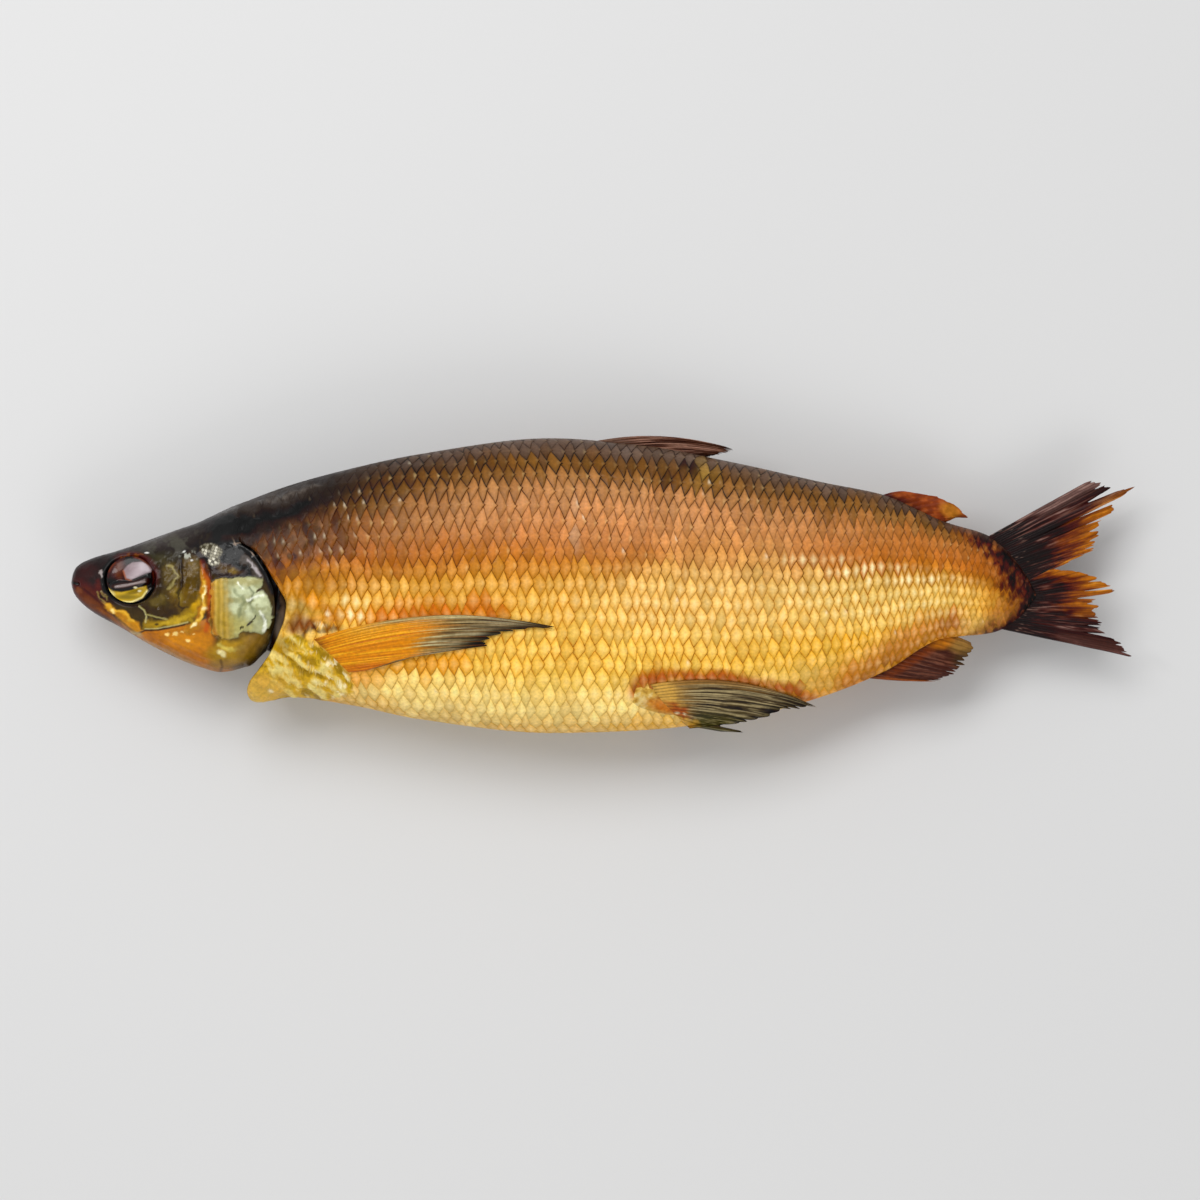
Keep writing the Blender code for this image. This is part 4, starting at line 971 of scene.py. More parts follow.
def shoulder_rim(side, seed):
    """The rim of skin behind the gill opening and the front of the breast, down to the mid-plane."""
    surface = BODY[side]
    nt = 150
    t = np.linspace(0, 0.86, nt)
    x = np.full(nt, 68.0)
    for _ in range(60):
        y = surface.at(x, t)[0][:, 1]
        x = 0.5 * x + 0.5 * SHOULDER_EDGE(y)
    p, nor = surface.at(x, t)
    free = 1 - sstep(p[:, 1], 15.5, 17.6)
    px, py = layout(p)
    base_col = body_paint(px, py, seed)[0]
    rows, cols = [], []
    # third number: each row inward is painted darker, down to the closing row: painted shade inside the gill opening
    # and under the breast's front
    for depth, shift, dark in ((-0.05, 0.25, 1.0), (0.1, -0.15, 0.8), (0.5, -0.4, 0.3), (1.1, -0.35, 0.14), (2.2, 0.0, 0.12), (4.0, 0.8, 0.1), (7.0, 2.2, 0.1)):
        q = p - nor * depth
        q[:, 0] += shift * free
        rows.append(q)
        cols.append(base_col * dark)
    # the breast's front closes at the mid-plane
    q = rows[-1].copy()
    q[:, 2] = mid(q[:, 0])
    q[:, 1] = q[:, 1] * 0.96 + 0.04 * AX(q[:, 0])
    rows.append(q)
    cols.append(base_col * 0.12)
    P, C_ = np.stack(rows), np.stack(cols)
    return P.reshape(-1, 3), grid_quads(len(rows), nt, flip=side > 0), C_.reshape(-1, 3)


def gill_core(side):
    """The dark membrane that shows inside the gill opening."""
    ns, nt = 60, 60
    xs = np.linspace(54, 84, ns)
    a = np.linspace(-math.pi / 2, math.pi / 2, nt)
    low = Curve([(54, -25.0), (62, -24.5), (68, -21.5), (74, -23.0), (80, -31.0), (86, -35.0)])(xs)
    high = BACK(xs) - 4
    ax = AX(xs)
    half = HALF(xs) - 4.2
    s, c = np.sin(a), np.abs(np.cos(a))
    y = ax[:, None] + np.where(s > 0, (high - ax)[:, None], (ax - low)[:, None]) * np.sign(s) * np.abs(s) ** 0.95
    px, py = xs[:, None] / K + 71 + 0 * y, 590 - y / K
    fold = 0.9 * np.sin(px * 0.55 + py * 0.10 + 3 * fbm(px / 9, py / 16, 83)) * 0.5
    z = half[:, None] * c**0.95 + fold * 0.8 + 1.6 * ell(px.ravel(), py.ravel(), 281, 605, 7, 30, -6, 0.6).reshape(px.shape)
    p = np.stack([np.repeat(xs, nt), y.ravel(), (mid(xs)[:, None] + side * z).ravel()], 1)
    px, py = px.ravel(), py.ravel()
    # near-black: partly the membrane's own colour, partly painted shade deep in the gill opening
    col = np.tile(rgb("#1d130d"), (len(px), 1))
    n = fbm(px / 7, py / 12, 88) - 0.5
    col = lay(col, "#5b4a3d", 0.8 * ell(px, py, 283, 612, 5, 24, -4, 0.7) * sstep(n, -0.12, 0.1))
    col = lay(col, "#8b7a68", 0.6 * ell(px, py, 280, 628, 3.4, 11, 12, 0.7))
    col = lay(col, "#3d2414", 0.6 * ell(px, py, 272, 650, 7, 12, 20, 0.6))
    return p, grid_quads(ns, nt, flip=side < 0), col * (1 + 0.7 * n)[:, None]


# ------------------------------------------------------------------ eyes
def eye_piece(side, seed):
    cx, cy, rx, ry = 132.0, 579.5, 24.0, 23.0
    nr, na = 46, 96
    r = np.linspace(0, 1, nr)
    a = np.linspace(0, 2 * np.pi, na, endpoint=False)
    R, A_ = np.meshgrid(r, a, indexing="ij")
    px, py = (cx + rx * R * np.cos(A_)).ravel(), (cy + ry * R * np.sin(A_)).ravel()
    R = R.ravel()
    x, y = (px - 71) * K, (590 - py) * K
    centre = float(mid(22.0)) * 0 + 11.2
    h = centre - 0.5 - 2.7 * (1 - np.sqrt(np.clip(1 - (R * 0.92) ** 2, 0, 1)))
    # the fold of tissue across the eye and the crescent under it
    fold = stroke(px, py, [(115, 588), (122, 586.5), (130, 585.5), (139, 583.5), (147, 581)], 3.0, 0.9)
    h += 0.75 * fold - 0.35 * stroke(px, py, [(110, 589), (117, 597), (129, 600), (142, 596), (149, 588)], 3.5, 0.9)
    h += 0.5 * (stroke(px, py, [(107, 588), (113, 600), (128, 605), (144, 602), (153, 590)], 2.0, 0.9))
    h -= 0.4 * stroke(px, py, [(112, 583), (121, 579), (135, 581), (147, 574)], 1.6, 0.9)
    h += 0.12 * (fbm(px / 6, py / 6, seed + 90) - 0.5) + 0.45 * sstep(px, 128, 152)
    p = np.stack([x, y, mid(x) + side * h], 1)
    n2 = fbm(px / 6, py / 5, seed + 92) - 0.5
    col = np.tile(rgb("#1c0c06"), (len(px), 1))
    # pale mauve painted reflection on the lens, cut off by the fold
    col = lay(col, "#3d1c0c", 0.9 * ell(px, py, 119, 570, 9, 9, -30, 0.5))
    col = lay(col, "#60301a", 0.9 * (1 - sstep(np.hypot(px - 137, (py - 571) * 1.3), 17, 24)) * (1 - sstep(px, 118, 128)))
    lens = area(px, py, [(125, 570), (129, 565.5), (134, 562.5), (144, 562), (153.5, 567.5), (152.5, 571.5), (143, 575.5), (133, 580), (127, 578.5)], 0.9)
    col = lay(col, "#8d7a7e", lens * 0.97)
    col = lay(col, "#b7a8ad", 0.9 * lens * sstep(px + 0.8 * (py - 570), 128, 142))
    col = lay(col, "#cbbfc4", 0.6 * lens * ell(px, py, 147, 568, 6, 3.5, 20, 0.6))
    col = lay(col, "#a05a3a", 0.8 * stroke(px, py, [(125, 571), (127.5, 579), (133, 580.8)], 0.8, 0.8))
    col = lay(col, "#120806", 0.95 * stroke(px, py, [(108, 584), (118, 582.5), (132, 583), (150, 575)], 2.2, 0.7))
    col = lay(col, "#3a2520", 0.95 * fold)
    # pale line along the fold: painted highlight
    col = lay(col, "#a39491", 0.75 * stroke(px, py, [(117, 587), (127, 585.6), (136, 583.6), (146, 581.6)], 1.0, 0.9))
    col = lay(col, "#0f0806", 0.9 * stroke(px, py, [(112, 589), (124, 590), (136, 587.5), (146, 584.5)], 1.3, 0.8))
    cres = area(px, py, [(107, 590), (109, 588), (114, 591), (122.7, 592.2), (132.7, 590.5), (139, 588), (147.7, 586), (149, 591), (144, 598), (133, 603), (121, 602.5), (111, 599), (107.7, 594)], 0.9)
    col = lay(col, "#cba62c", cres * 0.97)
    # the crescent's dark patches are painted reflections; its pale spot, white spot and the two small spots on the fold
    # are painted highlights
    col = lay(col, "#5d4d16", cres * 0.75 * ell(px, py, 135, 592, 8, 2.2, -14, 0.5))
    col = lay(col, "#7d6a1e", cres * 0.8 * ell(px, py, 128, 597, 12, 2.2, 0, 0.6))
    col = lay(col, "#f4e79a", cres * 0.9 * stroke(px, py, [(108, 591), (110, 597.5), (120, 601.8), (133, 602), (143.5, 597.5), (148.5, 590.5)], 0.9, 0.8))
    col = lay(col, "#ead98c", cres * 0.9 * ell(px, py, 112, 594, 4.4, 3.4, 40, 0.5))
    col = lay(col, "#fffdf0", cres * 0.95 * ell(px, py, 113, 597.6, 3.2, 1.9, 35, 0.5))
    col = lay(col, "#fff6c8", 0.85 * (ell(px, py, 137, 587.6, 1.8, 1.0, 0, 0.5) + ell(px, py, 141, 591, 1.6, 1.0, 0, 0.5)))
    col = lay(col, "#6a3115", 0.7 * sstep(R, 0.88, 0.98) * sstep(n2, -0.1, 0.1) * (1 - sstep(py, 572, 590)))
    quads = grid_quads(nr, na, flip=side < 0, wrap=True)
    return p, quads, col * (1 + 0.25 * n2)[:, None]


# ------------------------------------------------------------------ fins
def flank_z(x, y, side):
    ax = AX(x)
    reach = np.where(y > ax, BACK(x) - ax, ax - BELLY(x))
    n = np.where(y > ax, FULL_UP(x), FULL_LOW(x))
    r = np.clip(np.abs(y - ax) / reach, 0, 1)
    return mid(x) + side * HALF(x) * (1 - r**n) ** (1 / n)


def track(pts):
    """x and y curves over the share of the base, from (share, x, y) rows."""
    return (lambda p: np.interp(p, [q[0] for q in pts], [q[1] for q in pts])), (lambda p: np.interp(p, [q[0] for q in pts], [q[2] for q in pts]))


def fin(name, root, tips, rays, height, paint, mat, seed, bow=None, fray=0.05, notches=(), thick=(2.0, 0.5), per_ray=7, steps=44,
        ridge=0.22, spread=0.0, only=None):
    """A fin: root and tips are (share, x, y) in the layout. Rays run from root to tip; the
    blade is ridged over each ray, and its edge is frayed between the rays."""
    rx, ry = track(root)
    tx, ty = track(tips)
    bow = bow or [(0, 0.0), (1, 0.0)]
    n = rays * per_ray + 1
    p = np.linspace(0, 1, n)
    q = p * rays
    ray = np.minimum(q.astype(int), rays - 1)
    w = np.abs((q - ray) * 2 - 1)  # 0 on a ray, 1 between two
    rnd = hash01(ray, 3, seed)
    short = fray * (0.25 + 1.5 * rnd) * w**1.4 + fray * 0.8 * (hash01(ray, 9, seed) - 0.3) * (1 - w)
    for c, width, depth in notches:
        short = short + depth * np.clip(1 - np.abs(p - c) / width, 0, 1) ** 0.8
    reach = 1 - np.clip(short, -0.04, 0.9)
    s = np.linspace(0, 1, steps + 1) ** 0.9
    P, S = np.meshgrid(p, s, indexing="ij")
    R = S * reach[:, None]
    wob = 0.010 * (fbm(P * rays * 0.7, R * 4, seed + 2) - 0.5) * 6 * S
    ax, ay, bx, by = rx(P), ry(P), tx(P), ty(P)
    dx, dy = bx - ax, by - ay
    B = np.interp(P, [b[0] for b in bow], [b[1] for b in bow])
    lift = B * 4 * R * (1 - R) + wob * 0.15
    X, Y = ax + dx * R + dy * lift, ay + dy * R - dx * lift
    W = np.repeat(w[:, None], steps + 1, 1)
    xm, ym = (X - 71) * K, (590 - Y) * K
    t = thick[0] + (thick[1] - thick[0]) * S**0.7
    edge = np.minimum(1, (1 - S) * 9)
    side_edge = np.clip(np.minimum(P, 1 - P) * rays * 1.5, 0, 1) ** 0.5
    profile = (0.30 + 0.70 * (1 - W**1.6)) * ridge * (1 - 0.3 * S) * np.minimum(1, R * 6)
    t = t * (0.25 + 0.75 * edge) * (0.35 + 0.65 * side_edge)
    z0 = height(P, S, xm, ym)
    segments = 0.05 * np.sin(R * 95 + rnd[ray][:, None] * 0) * (1 - W) * sstep(S, 0.25, 0.6)
    zt = z0 + t / 2 + profile * side_edge * edge + segments * edge * 0.5
    zb = z0 - t / 2 - 0.6 * profile * side_edge * edge
    m = steps + 1
    top = np.stack([xm.ravel(), ym.ravel(), zt.ravel()], 1)
    low = np.stack([xm.ravel(), ym.ravel(), zb.ravel()], 1)
    verts = np.concatenate([top, low])
    quads = [grid_quads(n, m), grid_quads(n, m, flip=True) + n * m]
    # the sense of the grid on the page decides which way is out
    a = top.reshape(n, m, 3)
    cr = np.cross(a[1:, :-1] - a[:-1, :-1], a[:-1, 1:] - a[:-1, :-1])[..., 2].sum()
    if cr < 0:
        quads = [q_[:, ::-1] for q_ in quads]
    rim = [i * m for i in range(n)] + [(n - 1) * m + j for j in range(1, m)] + [i * m + steps for i in range(n - 2, -1, -1)] + list(range(steps - 1, 0, -1))
    rim = np.array(rim)
    nxt = np.roll(rim, -1)
    walls = np.stack([rim, rim + n * m, nxt + n * m, nxt], 1)
    if cr < 0:
        walls = walls[:, ::-1]
    quads = np.concatenate(quads + [walls])
    verts[:, 2] = np.maximum(verts[:, 2], 0.05)
    col = paint(P.ravel(), S.ravel(), R.ravel(), X.ravel(), Y.ravel(), W.ravel(), np.repeat(ray, m), seed)
    # the lower sheet is painted 15% darker than the top: painted shade
    col = np.concatenate([col, col * 0.85])
    return mesh_object(name, verts, None, col, mat, quads=quads)


def streaks(p, r, n, seed, stretch=3.0):
    return fbm(p * n, r * stretch, seed, 3) - 0.5


def paint_tail(p, s, r, px, py, w, ray, seed):
    st = streaks(p, r, 70, seed + 1, 5)
    n1 = fbm(px / 12, py / 12, seed + 5) - 0.5
    col = np.tile(rgb("#2f1714"), (len(p), 1))
    col = lay(col, "#553430", sstep(st, 0.0, 0.16) * 0.75)
    inner = np.clip(1 - np.abs(p - 0.47) / 0.38, 0, 1)
    amber = sstep(s + 0.40 * st + 0.25 * n1, 0.50, 0.84) * sstep(inner, 0.04, 0.45)
    col = lay(col, "#7a3c14", amber * 0.92)
    col = lay(col, "#b0681c", amber * sstep(s + 0.5 * st, 0.70, 0.96) * 0.92)
    col = lay(col, "#d09038", amber * sstep(st, 0.14, 0.26) * sstep(s, 0.7, 0.9) * 0.7)
    col = lay(col, "#7d625c", (1 - sstep(p, 0.02, 0.12)) * sstep(s, 0.30, 0.6) * 0.5)
    col = lay(col, "#6b4a44", sstep(p, 0.86, 0.97) * sstep(s, 0.25, 0.6) * 0.45)
    col = lay(col, "#28100b", (1 - sstep(s + 0.30 * n1 + 0.2 * st - 0.16 * inner, 0.24, 0.52)) * 0.96)
    col = lay(col, "#431a10", (1 - sstep(s + 0.3 * n1, 0.0, 0.12)) * 0.7)
    col = lay(col, "#a98b7f", 0.42 * sstep(st, 0.15, 0.26) * (1 - w) * sstep(s, 0.12, 0.34) * (1 - amber) * (0.35 + 0.65 * (np.abs(p - 0.5) > 0.2)))
    flecks = (hash01((px * 0.7).astype(int), (py * 0.9).astype(int), 5) > 0.985) * (1 - sstep(s, 0.12, 0.4))
    col = lay(col, "#a58a7c", 0.42 * flecks)
    col = lay(col, "#160a08", 0.45 * sstep(w, 0.66, 0.95))
    return col * (1 + 0.6 * st)[:, None]


def paint_dorsal(p, s, r, px, py, w, ray, seed):
    st = streaks(p, r, 30, seed + 1, 4)
    col = np.tile(rgb("#5a392d"), (len(p), 1))
    col = lay(col, "#96705f", sstep(st, 0.05, 0.16) * 0.75)
    col = lay(col, "#3a241c", sstep(-st, 0.02, 0.14) * 0.8)
    col = lay(col, "#1d120e", sstep(w, 0.7, 1.0) * 0.6)
    col = lay(col, "#5a4438", (1 - sstep(s, 0.02, 0.28)) * 0.8)
    col = lay(col, "#2a1b16", sstep(p, 0.55, 0.9) * 0.7)
    col = lay(col, "#2a1b16", sstep(s, 0.9, 1.0) * 0.7)
    return col * (1 + 0.4 * st)[:, None]


def paint_adipose(p, s, r, px, py, w, ray, seed):
    n = fbm(px / 6, py / 5, seed) - 0.5
    col = np.tile(rgb("#7e3a1e"), (len(p), 1))
    col = lay(col, "#3a2019", (1 - sstep(s + 0.3 * p, 0.15, 0.55)) * 0.85)
    col = lay(col, "#a3552c", 0.4 * sstep(n, 0.03, 0.16))
    col = lay(col, "#b5762c", ell(px, py, 951, 511, 11, 7, 30, 0.5) * 0.75)
    col = lay(col, "#4d2210", 0.7 * ell(px, py, 962, 517, 6, 3, 0, 0.5))
    return col * (1 + 0.8 * n)[:, None]


def paint_anal(p, s, r, px, py, w, ray, seed):
    st = streaks(p, r, 40, seed + 1, 4)
    col = np.tile(rgb("#482c26"), (len(p), 1))
    col = lay(col, "#71493a", sstep(st, 0.02, 0.16) * 0.6)
    col = lay(col, "#8a4018", ell(px, py, 912, 660, 34, 5, -32, 0.6) * 0.5)
    col = lay(col, "#bd7320", ell(px, py, 945, 642, 14, 6, -10, 0.6) * 0.85)
    col = lay(col, "#94703a", ell(px, py, 962, 646, 14, 8, 20, 0.6) * 0.9 * sstep(s, 0.4, 0.7))
    col = lay(col, "#463622", ell(px, py, 966, 660, 12, 9, 0, 0.6) * 0.8)
    col = lay(col, "#a85a2a", (1 - sstep(p, 0.03, 0.10)) * sstep(s, 0.1, 0.5) * 0.6)
    col = lay(col, "#2a1613", sstep(w, 0.6, 0.95) * 0.40)
    return col * (1 + 0.5 * st)[:, None]


def paint_pectoral(p, s, r, px, py, w, ray, seed):
    st = streaks(p, r, 46, seed + 1, 3.2)
    st2 = streaks(p, r, 90, seed + 7, 5)
    col = np.tile(rgb("#d58612"), (len(p), 1))
    col = lay(col, "#c66f0e", sstep(-st, 0.04, 0.24) * 0.6)
    col = lay(col, "#edb232", sstep(st, 0.04, 0.24) * 0.6)
    col = lay(col, "#b4560c", 0.6 * ell(px, py, 372, 668, 34, 5, -4, 0.7))
    col = lay(col, "#d9a33a", 0.55 * sstep(s, 0.02, 0.2) * (1 - sstep(s, 0.2, 0.45)) * (1 - sstep(p, 0.1, 0.4)))
    grey = sstep(s + 0.22 * st - 0.30 * np.clip(p - 0.55, 0, 1) + 0.12 * (1 - sstep(p, 0.05, 0.34)), 0.46, 0.70)
    grey = np.maximum(grey, sstep(s, 0.62, 0.85) * sstep(p, 0.45, 0.65))
    grey = np.maximum(grey, 0.85 * (1 - sstep(p + 0.1 * st, 0.04, 0.12)) * sstep(s, 0.15, 0.35))
    col = lay(col, "#94804e", grey * 0.95)
    col = lay(col, "#c6b88c", grey * sstep(st2 + st, 0.04, 0.2) * 0.9)
    col = lay(col, "#5d564c", grey * sstep(s, 0.55, 0.8) * 0.5)
    col = lay(col, "#2c2823", grey * sstep(-st2 - 0.6 * st, 0.05, 0.18) * 0.8)
    col = lay(col, "#a9a06a", 0.5 * grey * (1 - sstep(s, 0.55, 0.75)) * sstep(st, 0, 0.1))
    col = lay(col, "#1d1a18", sstep(s + 0.05 * st, 0.84, 0.97) * 0.9)
    col = lay(col, "#1a1715", 0.85 * ell(px, py, 478, 645, 20, 4.5, 0, 0.6))
    col = lay(col, "#3a1c0c", 0.5 * (1 - sstep(s, 0.0, 0.06)) * (1 - sstep(p, 0.1, 0.5)))
    col = lay(col, "#a85c10", 0.30 * sstep(w, 0.76, 1.0))
    return col * (1 + 0.28 * st + 0.2 * st2)[:, None]


def paint_pelvic(p, s, r, px, py, w, ray, seed):
    st = streaks(p, r, 40, seed + 1, 3.2)
    st2 = streaks(p, r, 80, seed + 7, 5)
    col = np.tile(rgb("#55462f"), (len(p), 1))
    col = lay(col, "#a3926a", sstep(st2 + st, 0.02, 0.2) * 0.9)
    col = lay(col, "#241d15", sstep(-st2 - st, 0.02, 0.18) * 0.9)
    col = lay(col, "#5d5c2c", 0.5 * sstep(p, 0.5, 0.9) * sstep(s, 0.2, 0.5))
    col = lay(col, "#a0783c", 0.75 * (1 - sstep(s + 0.3 * st, 0.12, 0.36)))
    col = lay(col, "#9a7038", 0.8 * (1 - sstep(p + 0.2 * st, 0.06, 0.24)) * (1 - sstep(s, 0.6, 0.85)))
    col = lay(col, "#5e2f10", 0.6 * (1 - sstep(p, 0.0, 0.05)) * sstep(s, 0.05, 0.2))
    wx, wy = px + 12 * (fbm(px / 6, py / 6, seed + 11) - 0.5), py + 12 * (fbm(px / 6 + 20, py / 6, seed + 12) - 0.5)
    col = lay(col, "#cfa04a", 0.97 * ell(wx, wy, 662, 703, 17, 22, 0, 0.45))
    col = lay(col, "#d08a1e", 0.85 * ell(wx, wy, 668, 716, 16, 6, 14, 0.5))
    col = lay(col, "#cf9d42", 0.9 * ell(wx, wy, 683, 722, 13, 7, 20, 0.5))
    col = lay(col, "#a3460e", 0.9 * ell(wx, wy, 677, 709, 13, 5, 18, 0.5))
    # small pale spots: painted highlights
    col = lay(col, "#f4e3b4", 0.7 * (ell(px, py, 677, 712.5, 2.4, 1.2, 0, 0.5) + ell(px, py, 684, 713.5, 1.6, 1.2, 30, 0.5)))
    col = lay(col, "#6a4a2c", 0.6 * (1 - sstep(p, 0.02, 0.1)) * sstep(s, 0.1, 0.4))
    col = lay(col, "#1f1b16", sstep(s, 0.82, 1.0) * 0.8)
    col = lay(col, "#1f1b16", 0.6 * sstep(w, 0.62, 0.95))
    return col * (1 + 0.4 * st)[:, None]


def root_process(side, seed):
    """The fleshy, scaly flap at the root of the belly fin."""
    ns, nt = 40, 26
    s, w = np.meshgrid(np.linspace(0, 1, ns), np.linspace(-1, 1, nt), indexing="ij")
    cx = 634 + 62 * s
    cy = 694 + 19 * s
    width = 13.5 * np.sqrt(np.clip(1 - (2 * s - 0.9) ** 2 * 0.7, 0, 1)) * (1 - 0.55 * s)
    px, py = cx - 0.28 * width * w, cy + width * w
    x, y = (px - 71) * K, (590 - py) * K
    bump = np.sqrt(np.clip(1 - w**2, 0, 1)) * 1.5 * np.clip(np.sin(np.pi * np.clip(s * 0.96 + 0.02, 0, 1)), 0, 1) ** 0.5
    rough = 0.5 * (fbm(px / 5, py / 5, seed + 3) - 0.5) * np.clip(bump, 0, 1)
    z = flank_z(x, np.maximum(y, BELLY(x) + 0.4), side) + side * (bump + rough - 0.25)
    p = np.stack([x.ravel(), y.ravel(), np.maximum(z.ravel(), 0.05)], 1)
    n = fbm(px / 5, py / 5, seed + 3).ravel() - 0.5
    col = np.tile(rgb("#caa24e"), (len(n), 1))
    # lighter where the same noise raises the flap and darker where it lowers it: painted highlight and painted shade
    col = lay(col, "#e6cf8e", sstep(n, 0.02, 0.15) * 0.7)
    col = lay(col, "#9a6a22", sstep(-n, 0.04, 0.2) * 0.8)
    col = lay(col, "#c8600e", 0.7 * ell(px.ravel(), py.ravel(), 668, 706, 20, 7, 10, 0.6))
    return p, grid_quads(ns, nt, flip=side > 0), col


# ------------------------------------------------------------------ materials
def node(tree, kind, **values):
    made = tree.nodes.new(kind)
    for key, value in values.items():
        if hasattr(made, key) and key not in made.inputs:
            setattr(made, key, value)
        else:
            made.inputs[key].default_value = value
    return made


def surface_material(name, rough=0.36, rough_span=0.16, coat=0.35, coat_rough=0.14, bump=0.25, scale=900.0, fine=2600.0,
                     tint=0.16, spec=0.5, sub=0.0, sub_colour=None, stretch=None):
    mat = bpy.data.materials.new(name)
    mat.use_nodes = True
    tree = mat.node_tree
    tree.nodes.clear()
    out = tree.nodes.new("ShaderNodeOutputMaterial")
    bsdf = tree.nodes.new("ShaderNodeBsdfPrincipled")
    link = tree.links.new
    link(bsdf.outputs["BSDF"], out.inputs["Surface"])
    paint = node(tree, "ShaderNodeVertexColor", layer_name="paint")
    coords = tree.nodes.new("ShaderNodeTexCoord")
    mapping = tree.nodes.new("ShaderNodeMapping")
    link(coords.outputs["Object"], mapping.inputs["Vector"])
    if stretch:
        mapping.inputs["Scale"].default_value = stretch
    n1 = node(tree, "ShaderNodeTexNoise")
    n1.inputs["Scale"].default_value = scale
    n1.inputs["Detail"].default_value = 4.0
    link(mapping.outputs["Vector"], n1.inputs["Vector"])
    n2 = node(tree, "ShaderNodeTexNoise")
    n2.inputs["Scale"].default_value = fine
    n2.inputs["Detail"].default_value = 3.0
    link(mapping.outputs["Vector"], n2.inputs["Vector"])
    blotch = node(tree, "ShaderNodeTexNoise")
    blotch.inputs["Scale"].default_value = scale * 0.16
    blotch.inputs["Detail"].default_value = 3.0
    link(coords.outputs["Object"], blotch.inputs["Vector"])
    # colour: paint, made lighter and darker by the noise
    span = node(tree, "ShaderNodeMapRange")
    span.inputs["From Min"].default_value, span.inputs["From Max"].default_value = 0.3, 0.7
    span.inputs["To Min"].default_value, span.inputs["To Max"].default_value = 1 - tint, 1 + tint
    link(n1.outputs["Fac"], span.inputs["Value"])
    times = node(tree, "ShaderNodeVectorMath", operation="SCALE")
    link(paint.outputs["Color"], times.inputs[0])
    link(span.outputs["Result"], times.inputs["Scale"])
    link(times.outputs["Vector"], bsdf.inputs["Base Color"])
    r = node(tree, "ShaderNodeMapRange")
    r.inputs["From Min"].default_value, r.inputs["From Max"].default_value = 0.3, 0.7
    r.inputs["To Min"].default_value, r.inputs["To Max"].default_value = rough - rough_span, rough + rough_span
    link(blotch.outputs["Fac"], r.inputs["Value"])
    link(r.outputs["Result"], bsdf.inputs["Roughness"])
    bsdf.inputs["Specular IOR Level"].default_value = spec
    bsdf.inputs["Coat Weight"].default_value = coat
    bsdf.inputs["Coat Roughness"].default_value = coat_rough
    if sub:
        bsdf.inputs["Subsurface Weight"].default_value = sub
        bsdf.inputs["Subsurface Radius"].default_value = sub_colour or (1.0, 0.45, 0.15)
        bsdf.inputs["Subsurface Scale"].default_value = 0.0018
    add = node(tree, "ShaderNodeMath", operation="MULTIPLY_ADD")
    add.inputs[1].default_value = 0.5
    link(n2.outputs["Fac"], add.inputs[0])
    link(n1.outputs["Fac"], add.inputs[2])
    b = node(tree, "ShaderNodeBump")
    b.inputs["Strength"].default_value = bump
    b.inputs["Distance"].default_value = 0.0003
    link(add.outputs["Value"], b.inputs["Height"])
    link(b.outputs["Normal"], bsdf.inputs["Normal"])
    return mat


SKIN = surface_material("scaly_skin", rough=0.42, rough_span=0.10, coat=0.035, coat_rough=0.08, bump=0.22, spec=0.12)
HEADM = surface_material("head_skin", rough=0.34, rough_span=0.14, coat=0.14, coat_rough=0.06, bump=0.30, scale=500.0, spec=0.15)
GILL = surface_material("gill_membrane", rough=0.30, rough_span=0.1, coat=0.05, coat_rough=0.08, bump=0.5, scale=300.0, spec=0.15)
FIN = surface_material("fin_rays", rough=0.44, rough_span=0.12, coat=0.03, coat_rough=0.12, bump=0.3, scale=800.0, spec=0.13)
EYE = surface_material("eye_glassy", rough=0.20, rough_span=0.06, coat=0.2, coat_rough=0.03, bump=0.05, scale=300.0, tint=0.08, spec=0.15)


# ------------------------------------------------------------------ building the fish
PIECES = []
for side, name, rings in ((1, "left", (1.0, 0.965, 0.88, 0.58, 0.24)), (-1, "right", (1.0, 0.9, 0.5))):
    seed = 1 if side > 0 else 101
    p, tri, row, col, uvs, lat, f = scale_skin(side, rings, seed)
    if side < 0:
        p[:, 2] = np.maximum(p[:, 2], 0.05 + 0.05 * vnoise(p[:, 0] * 2, p[:, 1] * 2, 3))
    bands = ((-40, -4), (-4, 1), (1, 6), (6, 40)) if side > 0 else ((-40, 0), (0, 40))
    for number, (a, b) in enumerate(bands):
        pick = tri[(row >= a) & (row < b)]
        PIECES.append(mesh_object("skin_%s_%d" % (name, number + 1), p, pick, np.clip(col, 0, 1), SKIN, uv=uvs))
    p, q, c, uvs = head_piece(side, 300 if side > 0 else 150, 190 if side > 0 else 100, seed)
    if side < 0:
        p[:, 2] = np.maximum(p[:, 2], 0.05)
    PIECES.append(mesh_object("head_" + name, p, None, c, HEADM, quads=q, uv=uvs))
    p, q, c = shoulder_rim(side, seed)
    p[:, 2] = np.maximum(p[:, 2], 0.05)
    PIECES.append(mesh_object("gill_rim_" + name, p, None, c, HEADM, quads=q))
    p, q, c = gill_core(side)
    PIECES.append(mesh_object("gill_membrane_" + name, p, None, c, GILL, quads=q))
    p, q, c = eye_piece(side, seed)
    if side > 0:
        q = q[:, ::-1]
    else:
        q = q[:, ::-1]
    PIECES.append(mesh_object("eyeball_" + name, p, None, c, EYE, quads=q, replaces="eye_" + name))
    p, q, c = root_process(side, seed)
    PIECES.append(mesh_object("belly_fin_root_" + name, p, None, c, SKIN, quads=q))


def upright(P, S, x, y):
    return mid(x) + 0.6 * np.sin(P * 9 + S * 3) * S


def lying(side, above, tip, free_from):
    def height(P, S, x, y):
        on = flank_z(x, y, side) + side * (above[0] + (above[1] - above[0]) * S)
        level = mid(x) + side * tip
        w = np.clip((S - free_from) / max(1 - free_from, 1e-6), 0, 1)
        free = on + (level - on) * w
        return np.maximum(on, free) if side > 0 else np.minimum(on, free)

    return height


